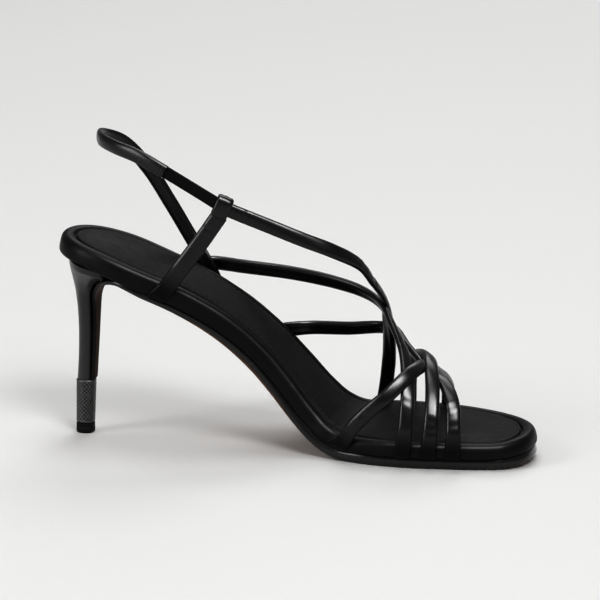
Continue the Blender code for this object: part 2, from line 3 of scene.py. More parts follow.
import bmesh
import bpy
import numpy as np
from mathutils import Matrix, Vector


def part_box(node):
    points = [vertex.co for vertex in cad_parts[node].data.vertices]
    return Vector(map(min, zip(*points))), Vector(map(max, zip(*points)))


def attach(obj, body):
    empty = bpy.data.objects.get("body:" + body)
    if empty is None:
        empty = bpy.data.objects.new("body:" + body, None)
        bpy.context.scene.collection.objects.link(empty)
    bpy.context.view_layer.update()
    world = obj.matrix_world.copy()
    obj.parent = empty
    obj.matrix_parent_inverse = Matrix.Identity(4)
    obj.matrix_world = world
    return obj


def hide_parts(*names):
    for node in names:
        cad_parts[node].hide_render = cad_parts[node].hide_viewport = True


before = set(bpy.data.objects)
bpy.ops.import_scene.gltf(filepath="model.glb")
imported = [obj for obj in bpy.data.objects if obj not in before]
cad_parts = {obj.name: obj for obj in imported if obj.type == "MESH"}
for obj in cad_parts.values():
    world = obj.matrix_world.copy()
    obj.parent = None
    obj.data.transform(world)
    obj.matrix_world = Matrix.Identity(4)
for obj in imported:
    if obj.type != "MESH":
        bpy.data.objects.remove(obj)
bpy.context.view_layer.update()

mm = 0.001
medial, lateral = -1, 1
gap = 0.3  # room between neighbouring pieces
endGap = 0.25  # room at the join inside the loop
fine = 900  # points on a smoothed line
nudge = 0.5  # step for measuring a direction
sliceWeld, trimWeld = 0.01, 0.0001  # points this near to a cut lie on it
tipCentre = 13.1  # x of the heel's top-piece in the shoe's own lines
tipLow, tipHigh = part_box("heel_tip")
shoeShift = (0.5 * (tipLow[0] + tipHigh[0]) - tipCentre * mm, 0.5 * (tipLow[1] + tipHigh[1]), 0.0)


# Lines and bends

def smoothRows(rows, keys, count, closed=False):
    # cubic through the rows, knots by the square root of the distance between keys
    rows, keys = np.asarray(rows, float), np.asarray(keys, float)
    if closed:
        rows = np.vstack((rows[-1:], rows, rows[:2]))
        keys = np.vstack((keys[-1:], keys, keys[:2]))
    stretch = np.sqrt(np.linalg.norm(np.diff(keys, axis=0), axis=1))
    knots = np.concatenate(([0.0], np.cumsum(stretch)))
    step = np.diff(knots)[:, None]
    slope = np.diff(rows, axis=0) / step
    middle = (slope[:-1] * step[1:] + slope[1:] * step[:-1]) / (step[:-1] + step[1:])
    tangent = np.vstack((slope[:1], middle, slope[-1:]))
    first, last = (knots[1], knots[-2]) if closed else (knots[0], knots[-1])
    where = np.linspace(first, last, count, endpoint=not closed)
    span = np.clip(np.searchsorted(knots, where, side="right") - 1, 0, len(step) - 1)
    share = ((where - knots[span]) / step[span, 0])[:, None]
    start, end = rows[span], rows[span + 1]
    lead, trail = tangent[span] * step[span], tangent[span + 1] * step[span]
    curve = (1 - share) ** 2 * (1 + 2 * share) * start + share ** 2 * (3 - 2 * share) * end
    return curve + share * (1 - share) ** 2 * lead + share ** 2 * (share - 1) * trail


def runningLength(line):
    return np.concatenate(([0.0], np.cumsum(np.linalg.norm(np.diff(line, axis=0), axis=1))))


def evenLine(line, count, closed=False):
    if closed:
        line = np.vstack((line, line[:1]))
    length = runningLength(line)
    where = np.linspace(0, length[-1], count, endpoint=not closed)
    return np.column_stack([np.interp(where, length, column) for column in line.T])


def ease(value, low, high):
    share = np.clip((value - low) / (high - low), 0.0, 1.0)
    return share * share * (3 - 2 * share)


def hump(value, centre, width):
    return np.exp(-((value - centre) / width) ** 2)


class Bend:
    # a line in the X-Z plane that a flat pattern is bent along
    def __init__(self, line):
        self.line = np.asarray(line)
        self.length = runningLength(self.line)
        self.ahead = np.gradient(self.line, self.length, axis=0)
        self.ahead /= np.linalg.norm(self.ahead, axis=1)[:, None]
        self.rise = np.column_stack((-self.ahead[:, 1], self.ahead[:, 0]))

    def place(self, run, across, height):
        at = [np.interp(run, self.length, column) for column in (*self.line.T, *self.rise.T)]
        return np.array((at[0] + height * at[2], across, at[1] + height * at[3]))

    def unplace(self, point):
        away = np.array((point[0], point[2])) - self.line
        near = int(np.argmin((away ** 2).sum(axis=1)))
        return (self.length[near] + away[near] @ self.ahead[near], point[1], away[near] @ self.rise[near])


# The shoe's main lines: underside of the footbed and its plan
shoeForm = {
    "foreLevel": 4.6,
    "rimHeel": 9.0,
    "rimFore": 7.2,
    "rimTurn": (60, 140),  # x between which the rim gets lower
    "points": 400,
    "soleLine": [
        (0, 87.0), (12, 84.2), (26, 80.0), (44, 73.0), (62, 65.5), (80, 55.2), (95, 43.0), (106, 31.4),
        (118, 17.6), (127, 9.4), (136, 5.3), (146, 4.6), (160, 4.6), (190, 4.6), (205, 4.6), (214, 5.4),
        (226, 8.2),
    ],
    "plan": [  # x, inner half-width, outer half-width
        (5.2, 12.6, 13.0), (14, 21.8, 22.3), (30, 26.8, 27.3), (50, 26.5, 27.0), (75, 23.5, 26.0),
        (98, 22.0, 28.0), (116, 24.6, 32.2), (133, 29.8, 37.4), (149, 35.2, 40.4), (166, 37.6, 40.4),
        (184, 37.2, 36.6), (200, 35.4, 29.6),
    ],
    "heelBack": (2, 0),
    "toeFront": [(213, -32.2), (221.2, -24.4), (224, -12.5), (222.2, 1), (217, 13.4), (210, 22.4)],
}


def makeSoleBend():
    line = evenLine(smoothRows(shoeForm["soleLine"], shoeForm["soleLine"], fine), fine)
    line[:, 1] = np.maximum(line[:, 1], shoeForm["foreLevel"])
    return Bend(line)


sole = makeSoleBend()


def runOf(x):
    return float(np.interp(x, sole.line[:, 0], sole.length))


def rimHeight(run):
    heelEnd, foreEnd = shoeForm["rimTurn"]
    return np.interp(run, (runOf(heelEnd), runOf(foreEnd)), (shoeForm["rimHeel"], shoeForm["rimFore"]))


def planOutline(count):
    inner = [(x, -inside) for x, inside, _ in shoeForm["plan"]]
    outer = [(x, outside) for x, _, outside in reversed(shoeForm["plan"])]
    corners = [shoeForm["heelBack"], *inner, *shoeForm["toeFront"], *outer]
    outline = smoothRows(corners, corners, fine, closed=True)
    outline[:, 0] = [runOf(x) for x in outline[:, 0]]
    return evenLine(outline, count, closed=True)


solePlan = planOutline(shoeForm["points"])


def insetLine(outline, distance):
    ahead = np.roll(outline, -1, axis=0) - np.roll(outline, 1, axis=0)
    inward = np.column_stack((-ahead[:, 1], ahead[:, 0]))
    inward /= np.linalg.norm(inward, axis=1)[:, None]
    return outline + np.broadcast_to(distance, len(outline))[:, None] * inward


def halfWidth(run, which):
    half = solePlan[solePlan[:, 1] * which > 0]
    half = half[np.argsort(half[:, 0])]
    return np.interp(run, half[:, 0], np.abs(half[:, 1]))


# Meshes

def skinLoops(shape, loops, closedRound=False):
    # faces between neighbouring loops, and over both ends of an open row of loops
    pairs = list(zip(loops, loops[1:]))
    if closedRound:
        pairs.append((loops[-1], loops[0]))
    for low, high in pairs:
        for at in range(len(low)):
            after = (at + 1) % len(low)
            shape.faces.new((low[at], low[after], high[after], high[at]))
    if not closedRound:
        for loop in (loops[0], loops[-1]):
            shape.faces.new(loop).material_index = 1  # marks the end faces for slicing


def loftRings(rings, marks=(), names=(), closedRound=False):
    # skin through rings of equal point counts; marks holds one array a name, ring by point
    shape = bmesh.new()
    layers = [shape.verts.layers.float.new(name) for name in names]
    loops = []
    for ringAt, ring in enumerate(rings):
        loop = []
        for at, point in enumerate(ring):
            vert = shape.verts.new(point)
            for layer, mark in zip(layers, marks):
                vert[layer] = float(mark[ringAt][at])
            loop.append(vert)
        loops.append(loop)
    skinLoops(shape, loops, closedRound)
    return shape, loops


def sliceEnds(shape, low, high, step, axis):
    # cuts the flat end faces into strips so that they bend
    for cut in np.arange(low + step, high, step):
        ends = [face for face in shape.faces if face.material_index == 1]
        edges = {edge for face in ends for edge in face.edges}
        verts = {vert for face in ends for vert in face.verts}
        way = (1, 0, 0) if axis == 0 else (0, 1, 0)
        spot = tuple(cut * share for share in way)
        bmesh.ops.bisect_plane(
            shape, geom=[*verts, *edges, *ends], dist=sliceWeld, plane_co=spot, plane_no=way)


def bentPlate(outline, layers, bend, steps, mould, names):
    # layers of (inset, height at run), sliced along and across, moulded, then bent along the line
    rings = []
    for inset, height in layers:
        edge = insetLine(outline, inset)
        rings.append([(run, across, height(run)) for run, across in edge])
    levels = [np.full(len(outline), at) for at in range(len(layers))]
    shape, _ = loftRings(rings, [levels], ["level"])
    for axis in (0, 1):
        sliceEnds(shape, outline[:, axis].min(), outline[:, axis].max(), steps[axis], axis)
    level = shape.verts.layers.float["level"]
    marks = [shape.verts.layers.float.new(name) for name in names]
    for vert in shape.verts:
        place, values = mould(*vert.co, vert[level])
        vert.co = bend.place(*place)
        for mark, value in zip(marks, values):
            vert[mark] = value
    return shape


def makePiece(name, shape, look, node=None, smoothAngle=40):
    # one object from a mesh in millimetres, riding on the shoe
    for face in shape.faces:
        face.material_index = 0
    bmesh.ops.recalc_face_normals(shape, faces=shape.faces)
    bmesh.ops.scale(shape, vec=(mm, mm, mm), verts=shape.verts)
    bmesh.ops.translate(shape, vec=shoeShift, verts=shape.verts)
    mesh = bpy.data.meshes.new(name)
    shape.to_mesh(mesh)
    shape.free()
    mesh.materials.append(look)
    mesh.shade_smooth()
    mesh.set_sharp_from_angle(angle=math.radians(smoothAngle))
    piece = bpy.data.objects.new(name, mesh)
    bpy.context.scene.collection.objects.link(piece)
    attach(piece, "root")
    if node:
        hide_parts(node)
    print("piece", name, len(mesh.polygons))
    return piece


# Materials

nodeLayout = {"perRow": 9, "right": 210, "down": -230}


def addNode(tree, kind, settings=None, inputs=None):
    node = tree.nodes.new("ShaderNode" + kind)
    row, place = divmod(len(tree.nodes), nodeLayout["perRow"])
    node.location = (nodeLayout["right"] * place, nodeLayout["down"] * row)
    for name, value in (settings or {}).items():
        setattr(node, name, value)
    for name, value in (inputs or {}).items():
        if isinstance(value, bpy.types.NodeSocket):
            tree.links.new(value, node.inputs[name])
        else:
            node.inputs[name].default_value = value
    return node


def mixColour(tree, factor, first, second):
    return addNode(tree, "Mix", {"data_type": "RGBA"}, {0: factor, 6: first, 7: second}).outputs[2]


def sums(tree, kind, first, second):
    return addNode(tree, "Math", {"operation": kind}, {0: first, 1: second}).outputs[0]


def times(tree, first, second):
    return sums(tree, "MULTIPLY", first, second)


def plus(tree, first, second):
    return sums(tree, "ADD", first, second)


def minus(tree, first, second):
    return sums(tree, "SUBTRACT", first, second)


def spread(tree, value, low, high, toLow, toHigh):
    inputs = {"Value": value, "From Min": low, "From Max": high, "To Min": toLow, "To Max": toHigh}
    return addNode(tree, "MapRange", None, inputs).outputs["Result"]


def between(tree, share, low, high):
    return spread(tree, share, 0, 1, low, high)


def ownPlace(tree):
    return addNode(tree, "TexCoord").outputs["Object"]


def noise(tree, vector, scale, detail=2.0, rough=0.5):
    inputs = {"Vector": vector, "Scale": scale, "Detail": detail, "Roughness": rough}
    return addNode(tree, "TexNoise", None, inputs).outputs["Fac"]


def mark(tree, name):
    return addNode(tree, "Attribute", {"attribute_name": name}).outputs["Fac"]


def newGroup(name, inputs, outputs):
    tree = bpy.data.node_groups.new(name, "ShaderNodeTree")
    for label, value in inputs.items():
        socket = tree.interface.new_socket(label, in_out="INPUT", socket_type="NodeSocketFloat")
        socket.default_value = value
    for label in outputs:
        tree.interface.new_socket(label, in_out="OUTPUT", socket_type="NodeSocketFloat")
    return tree, tree.nodes.new("NodeGroupInput").outputs, tree.nodes.new("NodeGroupOutput").inputs


def feed(tree, sockets, values):
    for label, value in values.items():
        tree.links.new(value, sockets[label])


grainForm = {  # scales are shares of the cells' or the clouds' own scale; noises are detail, roughness
    "swayScale": 0.3, "sway": (0.995, 1.005), "loose": 0.9, "valleyReach": 0.3, "valleyDepth": 0.5,
    "dome": 0.5, "valleyCut": 0.55, "poreScale": 2.6, "poreDetail": 3.0, "pore": 0.35, "rippleScale": 3.5,
    "rippleNoise": (3.0, 0.55), "cloudNoise": (4.0, 0.6), "cloudEnds": (0.3, 0.7),
}


def makeNappaGrain():
    # fine closed cells with soft valleys, a slow cloudiness and the unevenness of leather over padding
    tree, given, result = newGroup(
        "nappaGrain", {"Cells": 1500.0, "Clouds": 60.0, "Ripples": 0.0}, ("Height", "Valley", "Cloud"))
    here = ownPlace(tree)
    sway = noise(tree, here, times(tree, given["Cells"], grainForm["swayScale"]))
    sway = between(tree, sway, *grainForm["sway"])
    swayed = addNode(tree, "VectorMath", {"operation": "SCALE"}, {0: here, "Scale": sway}).outputs[0]
    cellInputs = {"Vector": swayed, "Scale": given["Cells"], "Randomness": grainForm["loose"]}
    edge = addNode(tree, "TexVoronoi", {"feature": "DISTANCE_TO_EDGE"}, cellInputs).outputs["Distance"]
    body = addNode(tree, "TexVoronoi", {"feature": "F1"}, cellInputs).outputs["Distance"]
    valley = spread(tree, edge, 0.0, grainForm["valleyReach"], grainForm["valleyDepth"], 0.0)
    pores = noise(tree, here, times(tree, given["Cells"], grainForm["poreScale"]), grainForm["poreDetail"])
    dome = minus(tree, 1.0, times(tree, body, grainForm["dome"]))
    height = minus(tree, dome, times(tree, valley, grainForm["valleyCut"]))
    height = plus(tree, height, times(tree, pores, grainForm["pore"]))
    rippleScale = times(tree, given["Clouds"], grainForm["rippleScale"])
    ripple = noise(tree, here, rippleScale, *grainForm["rippleNoise"])
    height = plus(tree, height, times(tree, ripple, given["Ripples"]))
    cloud = noise(tree, here, given["Clouds"], *grainForm["cloudNoise"])
    cloud = spread(tree, cloud, *grainForm["cloudEnds"], 0.0, 1.0)
    feed(tree, result, {"Height": height, "Valley": valley, "Cloud": cloud})
    return tree


rubForm = {"noise": (5.0, 0.65), "ends": (0.36, 0.62), "keep": (0.15, 1.0)}


def makeEdgeRub():
    # breaks up a painted mask of rubbed wear and painted highlight so that it looks worn in
    tree, given, result = newGroup("edgeRubAndHighlight", {"Mask": 0.0, "Break": 500.0}, ("RubAndHighlight",))
    coarse = noise(tree, ownPlace(tree), given["Break"], *rubForm["noise"])
    keep = spread(tree, coarse, *rubForm["ends"], *rubForm["keep"])
    feed(tree, result, {"RubAndHighlight": times(tree, given["Mask"], keep)})
    return tree


scuffForm = {
    "turn": (0.0, 0.0, 0.5), "stretch": (0.06, 1.0, 0.6), "lineNoise": (3.0, 0.7), "lineEnds": (0.6, 0.72),
    "blotchNoise": (5.0, 0.6), "blotchEnds": (0.48, 0.66),
}


def makeScuffs():
    # fine scratches along the shoe and duller blotches
    tree, given, result = newGroup("scuffs", {"Fine": 900.0, "Blotch": 90.0}, ("Lines", "Dull"))
    here = ownPlace(tree)
    turned = addNode(
        tree, "Mapping", None, {"Vector": here, "Rotation": scuffForm["turn"], "Scale": scuffForm["stretch"]})
    lines = noise(tree, turned.outputs[0], given["Fine"], *scuffForm["lineNoise"])
    blotch = noise(tree, here, given["Blotch"], *scuffForm["blotchNoise"])
    dull = spread(tree, blotch, *scuffForm["blotchEnds"], 0.0, 1.0)
    lines = times(tree, spread(tree, lines, *scuffForm["lineEnds"], 0.0, 1.0), dull)
    feed(tree, result, {"Lines": lines, "Dull": dull})
    return tree


weaveForm = {
    "fuzzScale": 3200.0, "fuzzNoise": (4.0, 0.7), "fuzz": 0.5, "yarnHeight": 0.7, "shadeEnds": (0.1, 1.0),
}


def makeFineWeave():
    # cords along the web crossed by covering yarns, from distances in millimetres
    tree, given, result = newGroup(
        "fineWeave", {"Along": 0.0, "Across": 0.0, "Yarn": 9.0, "Cord": 7.0}, ("Height", "Shade"))
    waves = []
    for way, count in (("Along", "Yarn"), ("Across", "Cord")):
        phase = times(tree, given[way], given[count])
        waves.append(addNode(tree, "Math", {"operation": "SINE"}, {0: phase}).outputs[0])
    crossed = spread(tree, times(tree, *waves), -1, 1, 0.0, weaveForm["yarnHeight"])
    fuzz = noise(tree, ownPlace(tree), weaveForm["fuzzScale"], *weaveForm["fuzzNoise"])
    height = plus(tree, crossed, times(tree, fuzz, weaveForm["fuzz"]))
    feed(tree, result, {"Height": height, "Shade": spread(tree, height, *weaveForm["shadeEnds"], 0.0, 1.0)})
    return tree


groups = {"grain": makeNappaGrain(), "rubAndHighlight": makeEdgeRub(), "scuffs": makeScuffs(), "weave": makeFineWeave()}


def useGroup(tree, name, inputs):
    return addNode(tree, "Group", {"node_tree": groups[name]}, inputs).outputs


def newMaterial(name, plain):
    made = bpy.data.materials.new(name)
    made.use_nodes = True
    shader = made.node_tree.nodes["Principled BSDF"]
    for label, value in plain.items():
        shader.inputs[label].default_value = value
    return made, made.node_tree, shader.inputs


def addBump(tree, shader, height, look):
    inputs = {"Height": height, "Strength": look["bump"], "Distance": look["bumpDepth"]}
    feed(tree, shader, {"Normal": addNode(tree, "Bump", None, inputs).outputs["Normal"]})


def grey(value, warm=0.0):
    return (value * (1 + warm), value, value * (1 - warm), 1.0)


# the valley and crease shares darken grain valleys and creases as painted shade
leatherTones = {  # what all the black leathers share
    "warm": 0.01, "wornAndHighlightWarm": 0.015, "valley": 0.5, "valleyShadeTone": 0.5, "creaseShade": 0.7, "creaseShadeTone": 0.4,
    "roughSpread": 0.05, "valleyRough": 0.1, "valleyCoat": 0.6,
}


def leatherLook(name, look):
    # black leather: grain, clouded gloss, painted shade in grain valleys and creases, and a paler tone that
    # is rubbed wear on ridges and painted highlight along strap edges and the rim's roll
    made, tree, shader = newMaterial(name, look["plain"])
    grain = useGroup(
        tree, "grain", {"Cells": look["cells"], "Clouds": look["clouds"], "Ripples": look["ripples"]})
    rubAndHighlight = useGroup(tree, "rubAndHighlight", {"Mask": mark(tree, "rubAndHighlight"), "Break": look["break"]})["RubAndHighlight"]
    deep, warm, spreadBy = look["deep"], leatherTones["warm"], leatherTones["roughSpread"]
    colour = mixColour(tree, grain["Cloud"], grey(deep, warm), grey(look["tone"], -warm))
    # painted shade in the grain valleys and on the crease mark; the paler tone on the rub mask is rubbed wear
    # and painted highlight
    for mask, share, tone in (
            (grain["Valley"], leatherTones["valley"], grey(deep * leatherTones["valleyShadeTone"])),
            (mark(tree, "creaseShade"), leatherTones["creaseShade"], grey(deep * leatherTones["creaseShadeTone"])),
            (rubAndHighlight, look["rubAndHighlightShare"], grey(look["wornAndHighlight"], leatherTones["wornAndHighlightWarm"]))):
        colour = mixColour(tree, times(tree, mask, share), colour, tone)
    gloss = between(tree, grain["Cloud"], look["rough"] - spreadBy, look["rough"] + spreadBy)
    gloss = plus(tree, gloss, times(tree, grain["Valley"], leatherTones["valleyRough"]))
    gloss = minus(tree, gloss, times(tree, rubAndHighlight, look["polish"]))
    coat = between(tree, grain["Valley"], look["coat"], look["coat"] * leatherTones["valleyCoat"])
    coat = times(tree, coat, between(tree, mark(tree, "pressed"), 1.0, look["pressedCoat"]))
    feed(tree, shader, {"Base Color": colour, "Roughness": gloss, "Coat Weight": coat})
    addBump(tree, shader, grain["Height"], look)
    return made


strapLook = {
    "cells": 2400.0, "clouds": 90.0, "ripples": 9.0, "break": 420.0,
    "deep": 0.002, "tone": 0.004, "wornAndHighlight": 0.012, "rubAndHighlightShare": 0.35,
    "rough": 0.3, "polish": 0.05, "coat": 0.75, "pressedCoat": 0.05,
    "bump": 0.22, "bumpDepth": 0.00008, "plain": {"Coat Roughness": 0.26, "Specular IOR Level": 0.08},
}
wrapLook = {
    "cells": 2700.0, "clouds": 55.0, "ripples": 7.0, "break": 320.0,
    "deep": 0.0025, "tone": 0.005, "wornAndHighlight": 0.014, "rubAndHighlightShare": 0.45,
    "rough": 0.4, "polish": 0.06, "coat": 0.05, "pressedCoat": 1.0,
    "bump": 0.2, "bumpDepth": 0.0001, "plain": {"Coat Roughness": 0.2, "Specular IOR Level": 0.12},
}
coverLook = {
    "cells": 2700.0, "clouds": 55.0, "ripples": 4.0, "break": 320.0,
    "deep": 0.007, "tone": 0.011, "wornAndHighlight": 0.02, "rubAndHighlightShare": 0.45,
    "rough": 0.36, "polish": 0.06, "coat": 0.3, "pressedCoat": 1.0,
    "bump": 0.18, "bumpDepth": 0.0001, "plain": {"Coat Roughness": 0.24, "Specular IOR Level": 0.5},
}
liningLook = {
    "cells": 2000.0, "clouds": 40.0, "ripples": 6.0, "break": 220.0,
    "deep": 0.0025, "tone": 0.0055, "wornAndHighlight": 0.012, "rubAndHighlightShare": 0.5,
    "rough": 0.6, "polish": 0.1, "coat": 0.02, "pressedCoat": 1.0,
    "bump": 0.45, "bumpDepth": 0.00016, "plain": {"Coat Roughness": 0.4, "Specular IOR Level": 0.14},
}
nappaStrap = leatherLook("nappaStrap", strapLook)
nappaWrap = leatherLook("nappaWrap", wrapLook)
nappaCover = leatherLook("nappaCover", coverLook)
liningLeather = leatherLook("liningLeather", liningLook)
print("stage leathers")


# Footbed: leather wrapped over the padded board, with a rolled rim
footbedWrap = {
    "lower": [  # inset, height over the seam
        (1.6, 0.0), (1.05, 0.06), (0.5, 0.32), (0.16, 0.78), (0.0, 1.4), (-0.10, 2.4),
    ],
    "upper": [  # inset, height under the rim's top
        (-0.16, 4.2), (-0.12, 3.4), (-0.03, 2.7), (0.12, 2.05), (0.36, 1.45), (0.72, 0.92), (1.2, 0.5),
        (1.8, 0.2), (2.5, 0.04), (3.3, 0.0), (4.1, 0.06), (4.8, 0.24), (5.3, 0.55), (5.7, 1.0), (6.0, 1.5),
    ],
    "steps": (4.0, 6.0),
    "dents": [  # x, side, depth, width: where the strap ends press in or pull
        (37, lateral, 0.16, 7), (50, medial, 0.18, 6), (75, lateral, 0.18, 6), (93, lateral, 0.18, 6),
        (133, medial, 0.2, 6), (143, lateral, 0.2, 6), (155.4, lateral, 0.18, 6), (166.5, medial, 0.2, 6),
        (178, medial, 0.2, 6), (174.5, lateral, 0.18, 6), (189, medial, 0.2, 6),
    ],
    "waves": [  # x, depth, width: soft pulls of the leather round the rim
        (9, 0.10, 3.0), (20, -0.08, 4.0), (66, 0.06, 7.0), (88, -0.07, 6.0), (110, 0.10, 4.0),
        (121, -0.09, 3.4), (127, 0.11, 2.6), (199, 0.07, 4.0), (208, -0.08, 3.0), (214, 0.10, 2.6),
    ],
    "sideFrom": 0.86, "sideFull": 0.97,  # shares of the half-width at which the rim's side starts
    "bulge": 0.5, "bulgeAway": 1.3, "bulgeTight": 4.0,  # leather pushed up beside a dent
    # the ridge is a paler band along the rim's roll, rubbed wear and painted highlight; the seam and the
    # dents get painted shade
    "ridgeUnder": 1.1, "ridgeWide": 0.8, "seamReach": 0.7, "fullDent": 0.2, "dentShade": 0.5,
}


def overSeam(height):
    return lambda run: height


def underRim(drop):
    return lambda run: rimHeight(run) - drop


def mouldWrap(run, across, height, level):
    form = footbedWrap
    which = medial if across < 0 else lateral
    reach = float(halfWidth(run, which))
    sideShare = ease(abs(across), form["sideFrom"] * reach, form["sideFull"] * reach)
    push = sum(depth * hump(run, runOf(x), width) for x, depth, width in form["waves"])
    for x, dentSide, depth, width in form["dents"]:
        if dentSide == which:
            away = (run - runOf(x)) / width
            bulge = form["bulge"] * math.exp(-(abs(away) - form["bulgeAway"]) ** 2 * form["bulgeTight"])
            push += depth * (bulge - math.exp(-away ** 2))
    # painted highlight and wear along the rim's roll; painted shade along the seam and in the dents
    ridge = hump(rimHeight(run) - height, form["ridgeUnder"], form["ridgeWide"]) * sideShare
    seam = hump(height, 0, form["seamReach"]) * sideShare
    dent = form["dentShade"] * max(-push, 0) / form["fullDent"]
    return (run, across + which * push * sideShare, height), (min(seam + dent, 1.0), ridge)


def makeFootbedWrap():
    layers = [(inset, overSeam(height)) for inset, height in footbedWrap["lower"]]
    layers += [(inset, underRim(drop)) for inset, drop in footbedWrap["upper"]]
    shape = bentPlate(solePlan, layers, sole, footbedWrap["steps"], mouldWrap, ("creaseShade", "rubAndHighlight"))
    return makePiece("footbedWrap", shape, nappaWrap, "footbed")


makeFootbedWrap()


# Insole: thin padded sock with the prints of heel, ball and toes
insoleSock = {
    "profile": [  # inset, height under the rim's top
        (6.4, 1.2), (6.4, 0.75), (6.45, 0.45), (6.6, 0.18), (6.9, -0.04), (7.4, -0.18), (8.0, -0.24),
        (8.35, -0.16), (8.6, -0.06), (8.85, -0.16), (9.2, -0.26), (10.2, -0.32), (12.0, -0.4),
    ],
    "steps": (2.6, 2.6),
    "prints": [  # x, y, half-length, half-width, depth
        (30, 0, 21, 15, 0.62), (160, -15, 19, 13, 0.45), (150, 17, 17, 12, 0.42), (197, -19, 12, 8, 0.42),
        (203, -5, 7, 5, 0.26), (198, 6, 6.5, 5, 0.26), (190, 15, 6, 5, 0.24), (180, 23, 6, 5, 0.22),
        (75, 8, 26, 7, -0.25), (116, 2, 14, 12, -0.2),
    ],
    "creases": [  # x at the middle, lean, depth, width: the flex of the ball and the shank
        (127, 0.10, 0.22, 1.5), (132.5, 0.05, 0.26, 1.6), (138.5, -0.06, 0.2, 1.5), (104, 0.12, 0.12, 1.8),
        (96, -0.08, 0.1, 1.8),
    ],
    "flexHalf": 26.0, "flexRidge": 0.45, "ridgeAway": 1.7, "ridgeWide": 0.7,
    "topFrom": -0.6, "topFull": 0.2,  # heights over the rim at which the moulding starts
    "grooveLevel": 8, "grooveWide": 0.6, "grooveShade": 0.8, "fullCrease": 0.26, "fullPrint": 0.5,
}


def sockSink(run, across):
    form = insoleSock
    sink = 0.0
    for x, y, long, wide, depth in form["prints"]:
        sink += depth * math.exp(-((run - runOf(x)) / long) ** 2 - ((across - y) / wide) ** 2)
    trough = 0.0
    fade = math.exp(-(across / form["flexHalf"]) ** 4)
    for x, lean, depth, width in form["creases"]:
        away = (run - runOf(x) - lean * across) / width
        ridge = form["flexRidge"] * hump(abs(away), form["ridgeAway"], form["ridgeWide"])
        trough += fade * depth * (math.exp(-away ** 2) - ridge)
    return sink, trough


def mouldSock(run, across, height, level):
    form = insoleSock
    sink, trough = sockSink(run, across)
    topShare = ease(height - rimHeight(run), form["topFrom"], form["topFull"])
    # painted shade in the flex creases and the groove; the prints get the paler tone of wear
    groove = hump(level, form["grooveLevel"], form["grooveWide"])
    creaseShade = max(max(trough, 0) / form["fullCrease"], form["grooveShade"] * groove)
    rubAndHighlight = max(sink, 0) / form["fullPrint"] * (1 - groove)
    return (run, across, height - (sink + trough) * topShare), (creaseShade, min(rubAndHighlight, 1.0))


def makeInsoleSock():
    layers = [(inset, underRim(drop)) for inset, drop in insoleSock["profile"]]
    shape = bentPlate(solePlan, layers, sole, insoleSock["steps"], mouldSock, ("creaseShade", "rubAndHighlight"))
    piece = makePiece("insoleSock", shape, liningLeather, "insole")


makeInsoleSock()


# Outsole: leather sole with a strip down the heel breast
soleLeather = {
    "breastX": 37.0, "waistX": 45.0, "breastRadius": 13.4, "inset": 1.2, "points": 460,
    "thick": [(37, 2.2), (55, 2.6), (76, 3.4), (96, 4.0), (120, 4.2), (140, 4.3)],
    "stripThick": 1.3, "stripStraight": 0.6,
    "strip": [  # share of the strip's length, half-width
        (0.0, 3.4), (0.25, 4.0), (0.45, 4.9), (0.59, 7.0), (0.72, 12.8), (0.82, 18.4), (0.92, 22.6),
        (1.0, 24.4),
    ],
    "stemFront": [(16.9, 25.4), (17.5, 36), (18.2, 50)],
    "profile": [  # inset, share of the thickness: tread with its channel, rounded edge, top
        (3.6, 1.0), (3.3, 0.97), (3.0, 1.0), (1.2, 1.0), (0.62, 0.985), (0.30, 0.94), (0.10, 0.87),
        (0.0, 0.78), (-0.05, 0.62), (-0.06, 0.45), (-0.03, 0.28), (0.03, 0.15), (0.14, 0.06), (0.3, 0.0),
    ],
    "narrow": [(0.0, 0.25), (0.5, 0.3), (1.0, 1.0)],  # share of the strip's length, share of the insets
    "steps": (3.0, 4.0),
    "inkLevel": 3.2, "inkFade": 1.4, "bareLevels": 3.0, "stripLevels": 2.8,  # levels of the profile
    "stripFade": (0.5, 1.1),  # shares of the strip's length between which its painted shade fades out
    "bareEdge": ((60, 70), (110, 126)),  # x where the low edge turns brown at the waist and black again
    "tread": ((134, 142), (206, 215)),  # x where the worn tread starts and ends
    "treadShare": 0.9, "channelLevel": 1, "channelWide": 0.5,
}
breastRun = runOf(soleLeather["breastX"])
breastX, _, breastZ = sole.place(breastRun, 0, -gap - soleLeather["breastRadius"])


def makeOutsoleBend():
    # up the front of the heel, round the breast and along to the toe
    rise = sole.place(breastRun, 0, 1) - sole.place(breastRun, 0, 0)
    turn = np.linspace(math.pi, math.atan2(rise[2], rise[0]), fine)
    radius = soleLeather["breastRadius"]
    arc = np.column_stack((breastX + radius * np.cos(turn), breastZ + radius * np.sin(turn)))
    stemRows = [*soleLeather["stemFront"], tuple(arc[0])]
    stem = smoothRows(stemRows, stemRows, fine)
    runs = np.linspace(breastRun, sole.length[-1], fine)[1:]
    floor = np.array([sole.place(run, 0, -gap) for run in runs])[:, (0, 2)]
    strip = np.vstack((stem, arc[1:]))
    return Bend(np.vstack((strip, floor))), runningLength(strip)[-1]


